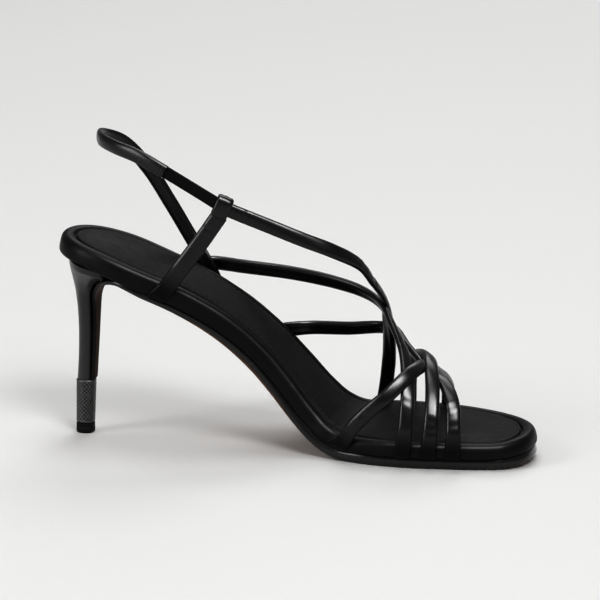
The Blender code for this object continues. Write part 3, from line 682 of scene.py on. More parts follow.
def soleLook(name, look):
    # brown sole leather with a black inked edge, a scuffed tread, painted shade in the channel and a duller
    # heel breast darkened with painted shade
    made, tree, shader = newMaterial(name, look["plain"])
    grain = useGroup(tree, "grain", {"Cells": look["cells"], "Clouds": look["clouds"]})
    scuffs = useGroup(tree, "scuffs", {"Fine": look["fine"], "Blotch": look["blotch"]})
    edge, tread, breast = mark(tree, "edge"), mark(tree, "tread"), mark(tree, "breast")
    wornAndHighlight = times(tree, tread, scuffs["Dull"])
    lines = times(tree, sums(tree, "MAXIMUM", tread, look["lineLeast"]), scuffs["Lines"])
    colour = mixColour(tree, grain["Cloud"], look["brown"], look["tan"])
    # painted shade on the heel breast and in the tread's channel; the inked edge, worn tread and scratches
    # are the sole's own colours
    for mask, share, tone in (
            (breast, look["breastShadeShare"], look["breastShade"]), (edge, 1.0, look["ink"]),
            (wornAndHighlight, look["dullShare"], look["dull"]), (lines, look["lineShare"], look["scratch"]),
            (mark(tree, "creaseShade"), look["channelShare"], look["ink"])):
        colour = mixColour(tree, times(tree, mask, share), colour, tone)
    gloss = between(tree, grain["Cloud"], *look["rough"])
    gloss = plus(tree, gloss, times(tree, wornAndHighlight, look["dullRough"]))
    gloss = minus(tree, gloss, times(tree, edge, look["edgePolish"]))
    gloss = plus(tree, gloss, times(tree, breast, look["breastRough"]))
    coat = times(tree, between(tree, edge, *look["coat"]), between(tree, breast, 1.0, 0.0))
    feed(tree, shader, {"Base Color": colour, "Roughness": gloss, "Coat Weight": coat})
    addBump(tree, shader, minus(tree, grain["Height"], lines), look)
    return made


soleFinish = {
    "cells": 1100.0, "clouds": 45.0, "fine": 800.0, "blotch": 80.0, "rough": (0.38, 0.48),
    "brown": (0.120, 0.056, 0.030, 1), "tan": (0.185, 0.094, 0.054, 1), "ink": (0.0045, 0.0042, 0.004, 1),
    "dull": (0.11, 0.075, 0.055, 1), "dullShare": 0.45, "dullRough": 0.2,
    "scratch": (0.33, 0.24, 0.18, 1), "lineShare": 0.6, "lineLeast": 0.25, "channelShare": 0.6,
    # painted shade on the heel breast, and its duller finish
    "breastShade": (0.034, 0.018, 0.011, 1), "breastShadeShare": 0.85, "breastRough": 0.46,
    "coat": (0.04, 0.6), "edgePolish": 0.16,  # coat on the brown and on the inked edge
    "bump": 0.3, "bumpDepth": 0.0001, "plain": {"Coat Roughness": 0.14, "Specular IOR Level": 0.18},
}


def makeSoleLeather():
    bend, stripRun = makeOutsoleBend()
    shift = stripRun - breastRun
    edge = insetLine(solePlan, soleLeather["inset"])
    keep = edge[edge[:, 0] > runOf(soleLeather["waistX"])] + (shift, 0)
    first = int(np.argmin(np.where(keep[:, 1] < 0, keep[:, 0], np.inf)))
    keep = np.roll(keep, -first, axis=0)
    inner = [(share * stripRun, -half) for share, half in soleLeather["strip"]]
    outer = [(share * stripRun, half) for share, half in reversed(soleLeather["strip"])]
    sides = smoothRows(inner, inner, fine), smoothRows(outer, outer, fine)
    outline = evenLine(np.vstack((sides[0], keep, sides[1])), soleLeather["points"], closed=True)
    thickRuns = [0, stripRun * soleLeather["stripStraight"]]
    thickRuns += [runOf(x) + shift for x, _ in soleLeather["thick"]]
    thicks = [soleLeather["stripThick"]] * 2 + [thick for _, thick in soleLeather["thick"]]
    narrow = np.interp(outline[:, 0] / stripRun, *np.array(soleLeather["narrow"]).T)
    stripFrom, stripTo = soleLeather["stripFade"]

    def depth(share):
        return lambda run: -share * float(np.interp(run, thickRuns, thicks))

    def stretchOf(run, ends):
        # 1 between two soft ends given as x from and to
        start, stop = [ease(run - shift, runOf(low), runOf(high)) for low, high in ends]
        return float(start * (1 - stop))

    def mouldSole(run, across, height, level):
        # the breast mark: painted shade and a duller finish on the heel breast
        onStrip = 1 - float(ease(run, stripFrom * stripRun, stripTo * stripRun))
        inked = soleLeather["inkLevel"] + soleLeather["bareLevels"] * stretchOf(run, soleLeather["bareEdge"])
        inked -= soleLeather["stripLevels"] * onStrip
        onEdge = float(ease(level, inked, inked + soleLeather["inkFade"]))
        channel = hump(level, soleLeather["channelLevel"], soleLeather["channelWide"])
        onTread = float(height < depth(soleLeather["treadShare"])(run))
        wornAndHighlight = stretchOf(run, soleLeather["tread"]) * (1 - onEdge) * onTread
        return (run, across, height), (onEdge, wornAndHighlight, channel, onStrip)

    layers = [(inset * narrow, depth(share)) for inset, share in soleLeather["profile"]]
    marks = ("edge", "tread", "creaseShade", "breast")
    shape = bentPlate(outline, layers, bend, soleLeather["steps"], mouldSole, marks)
    look = soleLook("soleLeather", soleFinish)
    return makePiece("soleLeather", shape, look, "outsole")


makeSoleLeather()
print("stage sole")


# Heel: covered stem, textured sleeve and top-piece
heelCover = {
    "rows": [  # front z, back x, back z, half-width, corner
        (76.4, 7.4, 83.0, 23.2, 5.0), (74.6, 7.8, 79.2, 19.0, 4.4), (70.7, 8.5, 74.0, 13.4, 3.8),
        (65.2, 9.5, 67.0, 8.8, 3.2), (57.0, 10.3, 57.5, 6.6, 2.8), (47.0, 10.6, 47.0, 5.5, 2.6),
        (35.0, 10.3, 35.0, 4.8, 2.6), (25.3, 9.7, 25.3, 4.4, 2.6),
    ],
    "seat": (7.2, 23.4, 5.0),  # back x, half-width, corner
    "spigot": [(25.3, 10.5, 16.2, 3.4), (5.0, 10.6, 15.6, 3.0)],  # z, back x, front x, half-width
    "sides": 84, "ringsPerRow": 8, "widest": 0.52, "corner": 2.6,  # corner of the stem's foot
    # the seat values paint shade on the top rings under the footbed
    "seatShade": (1.0, 0.5), "footRub": (0.1, 0.5), "rubRings": 6,
}


def dRing(back, front, half, corner=heelCover["corner"], sides=heelCover["sides"], proud=None):
    # rounded at the back, squarer at the front, between two points (x, z)
    turn = 2 * math.pi * np.arange(sides) / sides
    c, s = np.cos(turn), np.sin(turn)
    power = np.where(c > 0, 2 / corner, 1.0)
    widest = heelCover["widest"]
    share = widest + np.where(c > 0, (1 - widest) * np.abs(c) ** power, widest * c)
    across = half * np.copysign(np.abs(s) ** power, s)
    ring = np.column_stack((
        back[0] + share * (front[0] - back[0]), across, back[1] + share * (front[1] - back[1])))
    if proud is not None:
        ahead = np.roll(ring, -1, axis=0) - np.roll(ring, 1, axis=0)
        out = np.column_stack((ahead[:, 1], -ahead[:, 0], np.zeros(sides)))
        ring = ring + proud[:, None] * out / np.linalg.norm(out, axis=1)[:, None]
    return ring


def stemFront(z):
    if z > breastZ:
        reach = soleLeather["breastRadius"] + gap
        return breastX - math.sqrt(max(reach ** 2 - (z - breastZ) ** 2, 0.0))
    rows = [*soleLeather["stemFront"], (breastX - soleLeather["breastRadius"], breastZ)]
    line = smoothRows(rows, rows, fine)
    return float(np.interp(z, line[:, 1], line[:, 0])) - gap


def makeHeelCover():
    rows = heelCover["rows"]
    count = heelCover["ringsPerRow"] * (len(rows) - 1) + 1
    dense = smoothRows(rows, np.arange(len(rows))[:, None], count)
    seatBack, seatHalf, seatCorner = heelCover["seat"]
    seat = dRing((seatBack, 0), (stemFront(rows[0][0]), 0), seatHalf, seatCorner)
    rings = [[sole.place(runOf(x), y, -gap) for x, y, _ in seat]]
    for frontZ, backX, backZ, half, corner in dense:
        rings.append(dRing((backX, backZ), (stemFront(frontZ), frontZ), half, corner))
    coverEnd = len(rings)
    for z, backX, frontX, half in heelCover["spigot"]:
        rings.append(dRing((backX, z), (frontX, z), half))
    creaseShade, rubAndHighlight = np.zeros((2, len(rings), heelCover["sides"]))
    # painted shade on the top rings under the footbed
    creaseShade[:2] = np.array(heelCover["seatShade"])[:, None]
    rubbed = np.linspace(*heelCover["footRub"], heelCover["rubRings"])
    rubAndHighlight[coverEnd - len(rubbed):coverEnd] = rubbed[:, None]
    shape, _ = loftRings(rings, [creaseShade, rubAndHighlight], ["creaseShade", "rubAndHighlight"])
    return makePiece("heelCover", shape, nappaCover, "heel")


makeHeelCover()

heelSleeve = {
    "rows": [  # z, back x, front x, half-width
        (25.0, 9.4, 18.0, 4.5), (24.86, 9.25, 18.1, 4.6), (24.6, 9.1, 18.2, 4.7), (5.4, 8.9, 17.4, 4.6),
        (5.14, 9.05, 17.3, 4.5), (5.0, 9.2, 17.2, 4.4),
    ],
    "bore": [(5.0, 10.2, 16.4, 3.6), (25.0, 10.2, 17.2, 3.7)],  # the same inside, from the foot up
    "sides": 168, "rings": 120, "ringEnds": (24.5, 5.5), "edgeRows": 3,
    "around": 18, "pitch": 1.9, "depth": 0.15, "plainEdge": (0.6, 1.0), "edgeRubAndHighlight": 0.6,
    "smooth": 55,
}


def sleeveLook(name, look):
    made, tree, shader = newMaterial(name, look["plain"])
    scuffs = useGroup(tree, "scuffs", {"Fine": look["fine"], "Blotch": look["blotch"]})
    rubAndHighlight = useGroup(tree, "rubAndHighlight", {"Mask": mark(tree, "rubAndHighlight"), "Break": look["break"]})["RubAndHighlight"]
    # painted shade in the knurl's hollows and inside the bore; peaks and plain edges take the paler rub tone
    colour = mixColour(tree, mark(tree, "creaseShade"), look["tone"], look["deep"])
    colour = mixColour(tree, times(tree, rubAndHighlight, look["rubAndHighlightShare"]), colour, look["bright"])
    feed(tree, shader, {"Base Color": colour, "Roughness": between(tree, scuffs["Dull"], *look["rough"])})
    addBump(tree, shader, scuffs["Lines"], look)
    return made


sleeveFinish = {
    "fine": 1500.0, "blotch": 240.0, "break": 700.0, "rough": (0.36, 0.48), "tone": grey(0.075),
    "deep": grey(0.006), "bright": grey(0.24), "rubAndHighlightShare": 0.5, "bump": 0.12, "bumpDepth": 0.00003,
    "plain": {"Metallic": 0.75, "Specular IOR Level": 0.5},
}


def makeHeelSleeve():
    rows, edgeRows = np.array(heelSleeve["rows"]), heelSleeve["edgeRows"]
    sides = heelSleeve["sides"]
    top, foot = rows[0, 0], rows[-1, 0]
    middle = np.linspace(*heelSleeve["ringEnds"], heelSleeve["rings"])
    around = heelSleeve["around"] * 2 * math.pi * np.arange(sides) / sides
    rings, creaseShade, rubAndHighlight = [], [], []
    for z in (*rows[:edgeRows, 0], *middle, *rows[edgeRows:, 0]):
        backX, frontX, half = [np.interp(-z, -rows[:, 0], rows[:, at]) for at in (1, 2, 3)]
        phase = 2 * math.pi * (z - foot) / heelSleeve["pitch"]
        diamonds = 1 - np.abs(np.cos(0.5 * (around + phase)) * np.cos(0.5 * (around - phase)))
        knurled = ease(min(top - z, z - foot), *heelSleeve["plainEdge"])
        proud = -heelSleeve["depth"] * diamonds * knurled
        rings.append(dRing((backX, z), (frontX, z), half, sides=sides, proud=proud))
        # painted shade in the knurl's hollows
        creaseShade.append(diamonds ** 2 * knurled)
        rubAndHighlight.append((1 - diamonds) * knurled + heelSleeve["edgeRubAndHighlight"] * (1 - knurled))
    for z, backX, frontX, half in heelSleeve["bore"]:
        rings.append(dRing((backX, z), (frontX, z), half, sides=sides))
        # painted shade inside the bore
        creaseShade.append(np.ones(sides))
        rubAndHighlight.append(np.zeros(sides))
    shape, _ = loftRings(rings, [creaseShade, rubAndHighlight], ["creaseShade", "rubAndHighlight"], closedRound=True)
    look = sleeveLook("greySleeve", sleeveFinish)
    return makePiece("heelSleeve", shape, look, "heel_band", heelSleeve["smooth"])


makeHeelSleeve()

heelTopPiece = {
    "rows": [  # z, back x, front x, half-width
        (4.7, 9.35, 16.95, 4.2), (4.62, 9.1, 17.2, 4.45), (4.4, 9.0, 17.3, 4.5), (3.1, 8.97, 17.3, 4.53),
        (2.9, 9.08, 17.2, 4.42), (2.7, 8.96, 17.3, 4.54), (0.7, 8.9, 17.3, 4.6), (0.3, 8.98, 17.22, 4.52),
        (0.08, 9.12, 17.08, 4.38), (0.0, 9.3, 16.9, 4.2),
    ],
    "rubAndHighlight": (0.1, 1.0), "cells": 1600.0, "clouds": 200.0, "fine": 1200.0, "blotch": 300.0,
    "rough": (0.54, 0.7), "tone": grey(0.004), "pale": grey(0.009, 0.02), "bump": 0.25, "bumpDepth": 0.00006,
    "plain": {"Specular IOR Level": 0.14},
}


def topPieceLook(name, look):
    made, tree, shader = newMaterial(name, look["plain"])
    grain = useGroup(tree, "grain", {"Cells": look["cells"], "Clouds": look["clouds"]})
    scuffs = useGroup(tree, "scuffs", {"Fine": look["fine"], "Blotch": look["blotch"]})
    wornAndHighlight = times(tree, scuffs["Dull"], mark(tree, "rubAndHighlight"))
    colour = mixColour(tree, wornAndHighlight, look["tone"], look["pale"])
    feed(tree, shader, {"Base Color": colour, "Roughness": between(tree, grain["Cloud"], *look["rough"])})
    addBump(tree, shader, plus(tree, grain["Height"], scuffs["Lines"]), look)
    return made


def makeHeelTopPiece():
    rows = heelTopPiece["rows"]
    rings = np.array([dRing((back, z), (front, z), half) for z, back, front, half in rows])
    rubAndHighlight = np.broadcast_to(np.linspace(*heelTopPiece["rubAndHighlight"], len(rows))[:, None], rings.shape[:2])
    shape, _ = loftRings(rings, [rubAndHighlight], ["rubAndHighlight"])
    look = topPieceLook("blackTopPiece", heelTopPiece)
    return makePiece("heelTopPiece", shape, look, "heel_tip")


makeHeelTopPiece()
print("stage heel")


# Straps: routes over the foot's form
footForm = {
    "rows": [  # x, ridge z, ridge y, inner half-width, outer half-width
        (30, 260, 0, 27, 28), (60, 235, -2, 28.5, 30), (90, 200, -3, 30, 31), (105, 165, -4, 30, 31.5),
        (120, 130, -6, 30.5, 33), (135, 99, -7, 32.5, 35.5), (148, 72, -8, 35.2, 38.5),
        (158, 52.5, -9, 37.0, 40.0), (170, 39.8, -10, 37.4, 39.4), (185, 34, -14, 36.8, 35.8),
        (200, 29, -15, 34.5, 29.5), (214, 22, -14, 29, 14),
    ],
    "heelCurve": [(85, 6), (105, 8), (125, 17), (140, 23)],  # z, x
    "squareness": {medial: 2.3, lateral: 1.5}, "ankleCentre": 70.0, "ankleHalf": 30.0,
}
footTable = np.array(footForm["rows"], float)
footLine = smoothRows(footTable, footTable[:, :1], fine)
topLine = np.array([sole.place(run, 0, rimHeight(run)) for run in sole.length])


def footRow(x):
    ridgeZ, ridgeY, inside, outside = [np.interp(x, footLine[:, 0], column) for column in footLine.T[1:]]
    base = np.interp(x, topLine[:, 0], topLine[:, 2])
    return base, ridgeZ, ridgeY, inside + ridgeY, outside - ridgeY


def footValue(point):
    x, y, z = point
    base, ridgeZ, ridgeY, inside, outside = footRow(x)
    which = lateral if y > ridgeY else medial
    reach = (y - ridgeY) / (outside if which == lateral else inside)
    height = max((z - base) / (ridgeZ - base), 0)
    power = footForm["squareness"][which]
    return abs(reach) ** power + height ** power


def outward(point):
    steps = nudge * np.eye(3)
    slope = np.array([footValue(point + step) - footValue(point - step) for step in steps])
    return slope / np.linalg.norm(slope)


def otherShare(share, which):
    power = footForm["squareness"][which]
    return max(1 - abs(share) ** power, 0.0) ** (1 / power)


def strapRow(point, out, lift, flat):
    return (*(point + lift * out), *out, flat)


def onSide(which, x, z, lift=0.0):
    # on the side of the foot's form at a height
    base, ridgeZ, ridgeY, inside, outside = footRow(x)
    reach = outside if which == lateral else inside
    share = otherShare(max(z - base, 0) / (ridgeZ - base), which)
    point = np.array((x, ridgeY + which * reach * share, z))
    return strapRow(point, outward(point), lift, 0.0)


def onTop(x, y, lift=0.0):
    # on top of it at a distance across
    base, ridgeZ, ridgeY, inside, outside = footRow(x)
    which = lateral if y > ridgeY else medial
    reach = outside if which == lateral else inside
    point = np.array((x, y, base + (ridgeZ - base) * otherShare((y - ridgeY) / reach, which)))
    return strapRow(point, outward(point), lift, 0.0)


def onAnkle(which, x, z, lift=0.0):
    # round the back, an ellipse in plan at each height
    back = np.interp(z, *np.array(footForm["heelCurve"], float).T)
    span = footForm["ankleCentre"] - back
    along = min((footForm["ankleCentre"] - x) / span, 1.0)
    across = math.sqrt(1 - along ** 2)
    out = np.array((-along / span, which * across / footForm["ankleHalf"], 0))
    out /= np.linalg.norm(out)
    point = np.array((x, which * footForm["ankleHalf"] * across, z))
    return strapRow(point, out, lift, 0.0)


def onRim(which, x, up, lift=0.0):
    # on the footbed's rim; up runs from 0 at the seam to 1 at the rim's top
    run = runOf(x)
    turn = (halfWidth(run + nudge, which) - halfWidth(run - nudge, which)) / (2 * nudge)
    ahead = sole.place(run + nudge, 0, 0) - sole.place(run - nudge, 0, 0)
    out = which * np.array((0, 1, 0)) - turn * ahead / np.linalg.norm(ahead)
    out /= np.linalg.norm(out)
    point = sole.place(run, which * halfWidth(run, which), up * rimHeight(run))
    return strapRow(point, out, gap + lift, 1.0)


class StrapPath:
    # the line of a strap's inner face, with the way out and how flat it is pressed
    def __init__(self, rows):
        rows = np.array(rows)
        self.values = smoothRows(rows, rows[:, :3], fine)
        self.length = runningLength(self.values[:, :3])
        self.end = self.length[-1]

    def at(self, run):
        return np.array([np.interp(run, self.length, column) for column in self.values.T])

    def frame(self, run):
        here = self.at(run)
        ahead = self.at(run + nudge)[:3] - self.at(run - nudge)[:3]
        ahead /= np.linalg.norm(ahead)
        out = here[3:6] - ahead * np.dot(here[3:6], ahead)
        out /= np.linalg.norm(out)
        return here[:3], ahead, out, np.cross(ahead, out), float(np.clip(here[6], 0, 1))


strapForm = {
    "width": 6.5, "thick": 3.2, "endWidth": 7.2, "endThick": 2.0, "step": 0.8,
    "sides": 26, "squareness": 2.55, "outerSlope": 1.6,
    "seamGroove": 0.4, "seamTight": 0.004, "seamShade": 0.9,  # closing seam
    "ridge": 0.5, "ridgeAway": 1.7, "ridgeWide": 0.75, "pinch": 0.04, "fullDip": 0.35, "fullRidge": 0.12,
    # the edge rub amount lightens the outer edges as painted highlight; the seam and pleat shades are painted
    # shade
    "pleat": 0.16, "pleats": 3, "pleatShade": 2.0, "edgeRubAndHighlight": 0.35, "edgeAt": 0.4, "edgeWide": 0.06,
    "seamClear": 0.05, "nearSeam": 10.0, "tuckHeight": 4.0, "tuckShare": 0.6, "tuckRound": 1.4,
}


def strapSection(form):
    # shares of the width and thickness round a strap from the middle of its inner face, and the turn's sine
    turn = 2 * math.pi * np.arange(form["sides"]) / form["sides"] - 0.5 * math.pi
    c, s = np.cos(turn), np.sin(turn)
    power = 2 / form["squareness"]
    b = 0.5 * np.copysign(np.abs(c) ** power, c)
    n = 0.5 + 0.5 * np.copysign(np.abs(s) ** power, s)
    return b, n, s


def sweepStrap(path, first, last, creases, form=strapForm):
    # creases are (share of the length, depth, width, lean) on the outer face
    runs = np.linspace(first, last, int((last - first) / form["step"]) + 1)
    b, n, s = strapSection(form)
    under = hump(s, -1, form["seamTight"])
    outer = np.clip(s * form["outerSlope"] + 0.5, 0, 1)
    # painted highlight: a paler band along both outer edges
    edges = form["edgeRubAndHighlight"] * hump(np.abs(b), form["edgeAt"], form["edgeWide"]) * (s > 0)
    pleats = form["pleat"] * (0.5 - 0.5 * np.cos(2 * math.pi * form["pleats"] * b))
    rings, creaseShades, rubsAndHighlights, presses = [], [], [], []
    for run in runs:
        centre, _, out, across, flat = path.frame(run)
        width = form["width"] + (form["endWidth"] - form["width"]) * flat
        height = form["thick"] + (form["endThick"] - form["thick"]) * flat
        dip, ridge = np.zeros_like(b), np.zeros_like(b)
        for share, depth, wide, lean in creases:
            away = (run - first - share * (last - first) - lean * b * width) / wide
            dip += depth * np.exp(-away ** 2)
            ridge += form["ridge"] * depth * hump(np.abs(away), form["ridgeAway"], form["ridgeWide"])
        sink = (dip - ridge + pleats * flat) * outer - form["seamGroove"] * under
        side = b * width * (1 - form["pinch"] * dip)
        rings.append(centre + side[:, None] * across + (n * height - sink)[:, None] * out)
        # painted shade in the closing seam's groove, the pleats and the creases
        shade = form["seamShade"] * under + form["pleatShade"] * pleats * flat * outer
        creaseShades.append(np.clip(dip / form["fullDip"] + shade, 0, 1))
        rubsAndHighlights.append(np.clip(ridge / form["fullRidge"] + edges, 0, 1))
        presses.append(np.full(len(b), flat))
    return loftRings(rings, [creaseShades, rubsAndHighlights, presses], ["creaseShade", "rubAndHighlight", "pressed"])


def tuckIn(run, across, height):
    # thins a strap's end and turns it in round the footbed's lower edge, in the flat pattern's own space
    which = medial if across < 0 else lateral
    side = float(halfWidth(run, which))
    thin = 1 - strapForm["tuckShare"] * (1 - float(ease(height, 0, strapForm["tuckHeight"])))
    bow = strapForm["tuckRound"]
    under = min(max(bow - height, 0.0), bow)
    inset = bow - math.sqrt(bow ** 2 - under ** 2)
    return run, which * (side + (abs(across) - side) * thin - inset), height


def trimAtSeam(shape, loops):
    # cuts a strap's end where it tucks in over the sole, in the flat pattern's own space
    verts = [vert for loop in loops for vert in loop]
    chosen = set(verts)
    kept = {vert: vert.co.copy() for vert in verts}
    for vert in verts:
        vert.co = sole.unplace(vert.co)
    edges = {edge for vert in verts for edge in vert.link_edges if chosen.issuperset(edge.verts)}
    faces = {face for vert in verts for face in vert.link_faces if chosen.issuperset(face.verts)}
    cut = bmesh.ops.bisect_plane(
        shape, geom=[*verts, *edges, *faces], dist=trimWeld, plane_co=(0, 0, strapForm["seamClear"]),
        plane_no=(0, 0, 1), clear_inner=True)
    for item in cut["geom_cut"]:
        if isinstance(item, bmesh.types.BMVert) and item not in kept:
            item.co = sole.place(*tuckIn(*item.co))
    for vert, spot in kept.items():
        if vert.is_valid:
            low = vert.co.z < strapForm["tuckHeight"]
            vert.co = sole.place(*tuckIn(*vert.co)) if low else spot
    rim = [edge for edge in shape.edges if edge.is_boundary]
    bmesh.ops.holes_fill(shape, edges=rim, sides=0)


def seamLoops(loops):
    # rings from the strap's end up to where it leaves the rim
    taken = []
    for loop in loops:
        middle = sum((np.array(vert.co) for vert in loop), np.zeros(3)) / len(loop)
        if sole.unplace(middle)[2] > strapForm["nearSeam"]:
            break
        taken.append(loop)
    return taken


smoothStrap = 60  # degrees up to which the strap leathers shade smoothly


def makeStrap(name, strap, first=0.0, last=None, node="upper"):
    path = StrapPath(strap["rows"])
    last = path.end if last is None else last
    shape, loops = sweepStrap(path, first, last, strap["creases"], strap.get("form", strapForm))
    if "first" in strap["trimmed"]:
        trimAtSeam(shape, seamLoops(loops))
    if "last" in strap["trimmed"]:
        trimAtSeam(shape, seamLoops(loops[::-1]))
    return makePiece(name, shape, nappaStrap, node, smoothStrap)


underSeam = -0.5  # how far under the seam a strap's line starts, as a share of the rim
rearStrap = {
    "rows": [
        onRim(lateral, 37, -0.2, 0.2), onRim(lateral, 48, 0.30, 0.5), onRim(lateral, 56, 0.66, 1.2),
        onSide(lateral, 66, 74.0, 1.4), onSide(lateral, 82, 73.0), onSide(lateral, 104, 71.2),
        onSide(lateral, 124, 68.7), onTop(138, 18.4), onTop(147, 10.8), onTop(155.4, -2.5),
        onTop(162.4, -13.5), onSide(medial, 166.6, 38.5), onSide(medial, 168.6, 29),
        onSide(medial, 168.6, 19), onRim(medial, 167.6, 0.7), onRim(medial, 166.4, underSeam),
    ],
    "creases": [
        (0.20, 0.16, 1.5, 0.3), (0.24, 0.12, 1.3, -0.2), (0.70, 0.14, 1.4, 0.3), (0.86, 0.12, 1.2, -0.3)],
    "trimmed": ("first", "last"),
}
midStrap = {
    "rows": [
        onRim(lateral, 93, underSeam), onRim(lateral, 97, 0.6), onSide(lateral, 112, 45.4),
        onSide(lateral, 130, 46, 0.4), onTop(144, 26, 2.4), onTop(151.4, 20, 1.8), onTop(160.4, 8.6, 0.2),
        onTop(169, -2), onTop(177, -12.5), onSide(medial, 182.6, 34.4), onSide(medial, 188.6, 27.5),
        onSide(medial, 190, 18), onRim(medial, 189.8, 0.7), onRim(medial, 189, underSeam),
    ],
    "creases": [
        (0.13, 0.16, 1.3, -0.3), (0.17, 0.10, 1.1, 0.2), (0.83, 0.14, 1.3, 0.3), (0.88, 0.12, 1.2, 0.1)],
    "trimmed": ("first", "last"),
}
longStrap = {
    "rows": [
        onSide(medial, 83.6, 115.4, 2.3), onSide(medial, 90, 112.6, 1.2), onSide(medial, 104, 106.8),
        onSide(medial, 119.5, 100.2), onSide(medial, 132, 94.2), onTop(141.4, -10), onTop(145, -4, 0.5),
        onTop(147, 4, 1.6), onTop(148.2, 13, 1.5), onSide(lateral, 148.6, 37), onSide(lateral, 147, 22),
        onRim(lateral, 145, 0.8), onRim(lateral, 143, underSeam),
    ],
    "creases": [
        (0.07, 0.12, 1.2, 0.2), (0.42, 0.12, 1.6, -0.3), (0.47, 0.14, 1.5, 0.2), (0.86, 0.15, 1.3, 0.2)],
    "trimmed": ("last",),
}
frontStrap = {
    "rows": [
        onRim(lateral, 155.4, underSeam), onRim(lateral, 156.2, 0.8), onSide(lateral, 158, 25.5),
        onTop(161.6, 21.5, 1.0), onTop(166, 9, 2.6), onTop(170.4, -4, 3.8), onTop(174.6, -15, 3.2),
        onSide(medial, 178.4, 33.4, 0.8), onSide(medial, 180, 24), onSide(medial, 179.6, 16),
        onRim(medial, 179, 0.7), onRim(medial, 178, underSeam),
    ],
    "creases": [(0.15, 0.14, 1.3, 0.3), (0.84, 0.14, 1.2, -0.2), (0.88, 0.10, 1.1, 0.2)],
    "trimmed": ("first", "last"),
}
toeStrap = {
    "rows": [
        onRim(lateral, 174.5, underSeam), onRim(lateral, 175, 0.8), onSide(lateral, 175.4, 20),
        onTop(175.2, 19), onTop(174.2, 6, 0.2), onTop(172.4, -6, 1.6), onTop(170.2, -15, 1.8),
        onSide(medial, 166, 38, 2.2), onSide(medial, 159.5, 32, 0.8), onSide(medial, 151.5, 25),
        onSide(medial, 144.6, 17.5), onRim(medial, 139, 0.65), onRim(medial, 133, underSeam),
    ],
    "creases": [(0.14, 0.14, 1.3, -0.3), (0.80, 0.12, 1.6, 0.3), (0.88, 0.14, 1.3, 0.2)],
    "trimmed": ("first", "last"),
}
slingStrap = {
    "rows": [
        onRim(lateral, 75, underSeam), onRim(lateral, 66, 0.5), onRim(lateral, 60.5, 1.0),
        onAnkle(lateral, 56, 87), onAnkle(lateral, 47, 103), onAnkle(lateral, 38, 119),
        onAnkle(lateral, 29, 132), onAnkle(lateral, 22.8, 138), onAnkle(medial, 26, 139.4),
        onAnkle(medial, 34, 138.2), onAnkle(medial, 45, 135.8), onAnkle(medial, 58, 129.9, 0.4),
        onSide(medial, 71, 122.6, 2.3), onSide(medial, 83.6, 115.4, 2.3),
    ],
    "creases": [
        (0.16, 0.14, 1.3, 0.3), (0.55, 0.12, 1.3, 0.2), (0.60, 0.14, 1.2, -0.2), (0.66, 0.12, 1.3, 0.2)],
    "trimmed": ("first",),
    "leatherEnd": 58.0,  # x on the inner side where the elastic takes over
}
sideStrap = {
    "rows": [
        onRim(medial, 49.6, underSeam), onRim(medial, 54, 0.7), onSide(medial, 64.4, 85.2, 0.2),
        onSide(medial, 73.3, 97.2, 0.6), onSide(medial, 83, 111.3, 1.6),
    ],
    "creases": [(0.24, 0.14, 1.2, 0.3), (0.86, 0.12, 1.1, 0.2)],
    "trimmed": ("first",),
    "form": {**strapForm, "width": 7.8, "endWidth": 7.8},
}

slingPath, longPath = StrapPath(slingStrap["rows"]), StrapPath(longStrap["rows"])
innerSling = np.where((slingPath.values[:, 0] > slingStrap["leatherEnd"]) & (slingPath.values[:, 1] < 0))[0]
slingSplit = slingPath.length[innerSling[0]]
makeStrap("rearStrap", rearStrap)
makeStrap("midStrap", midStrap)
makeStrap("longStrap", longStrap, first=endGap)
makeStrap("frontStrap", frontStrap)
makeStrap("toeStrap", toeStrap)
makeStrap("slingStrap", slingStrap, last=slingSplit)
makeStrap("sideStrap", sideStrap, node="side_loop")
print("stage straps")


# Loop of leather folded round the end of the long strap
loopFold = {
    "length": 7.4, "thick": 1.7, "stations": 84, "roundness": 3.4, "sides": 20, "squareness": 2.9,
    "ridge": 0.14, "ridges": 3, "ridgeRub": 0.6,
}


def makeLoopFold():
    centre, ahead, out, across, _ = longPath.frame(nudge)
    middle = centre + 0.5 * strapForm["thick"] * out
    halfB = 0.5 * strapForm["width"] + gap + 0.5 * loopFold["thick"]
    halfN = 0.5 * strapForm["thick"] + gap + 0.5 * loopFold["thick"]
    b, n, s = strapSection(loopFold)
    fold = np.cos(2 * math.pi * loopFold["ridges"] * b) * np.clip(s, 0, 1)
    high = (n - 0.5) * loopFold["thick"] + loopFold["ridge"] * fold
    power = 2 / loopFold["roundness"]
    rings = []
    for at in range(loopFold["stations"]):
        turn = 2 * math.pi * at / loopFold["stations"]
        c, t = math.cos(turn), math.sin(turn)
        way = across * c / halfB + out * t / halfN
        way /= np.linalg.norm(way)
        hub = middle + halfB * math.copysign(abs(c) ** power, c) * across
        hub = hub + halfN * math.copysign(abs(t) ** power, t) * out
        rings.append(hub + (b * loopFold["length"])[:, None] * ahead + high[:, None] * way)
    # painted shade in the fold's troughs; the ridges take the paler rub tone
    creaseShades = [np.clip(-fold, 0, 1)] * len(rings)
    rubsAndHighlights = [np.clip(fold, 0, 1) * loopFold["ridgeRub"]] * len(rings)
    shape, _ = loftRings(rings, [creaseShades, rubsAndHighlights], ["creaseShade", "rubAndHighlight"], closedRound=True)
    return makePiece("loopFold", shape, nappaStrap, "side_loop", smoothStrap)


makeLoopFold()


# Elastic web between the sling and the long strap
elasticWeb = {
    "width": 5.6, "thick": 2.0, "step": 0.5, "sides": 96, "squareness": 4.0, "cords": 9, "cordHeight": 0.11,
    "cordEase": 2, "pull": 0.03, "tuck": 1.2, "smooth": 70,
}


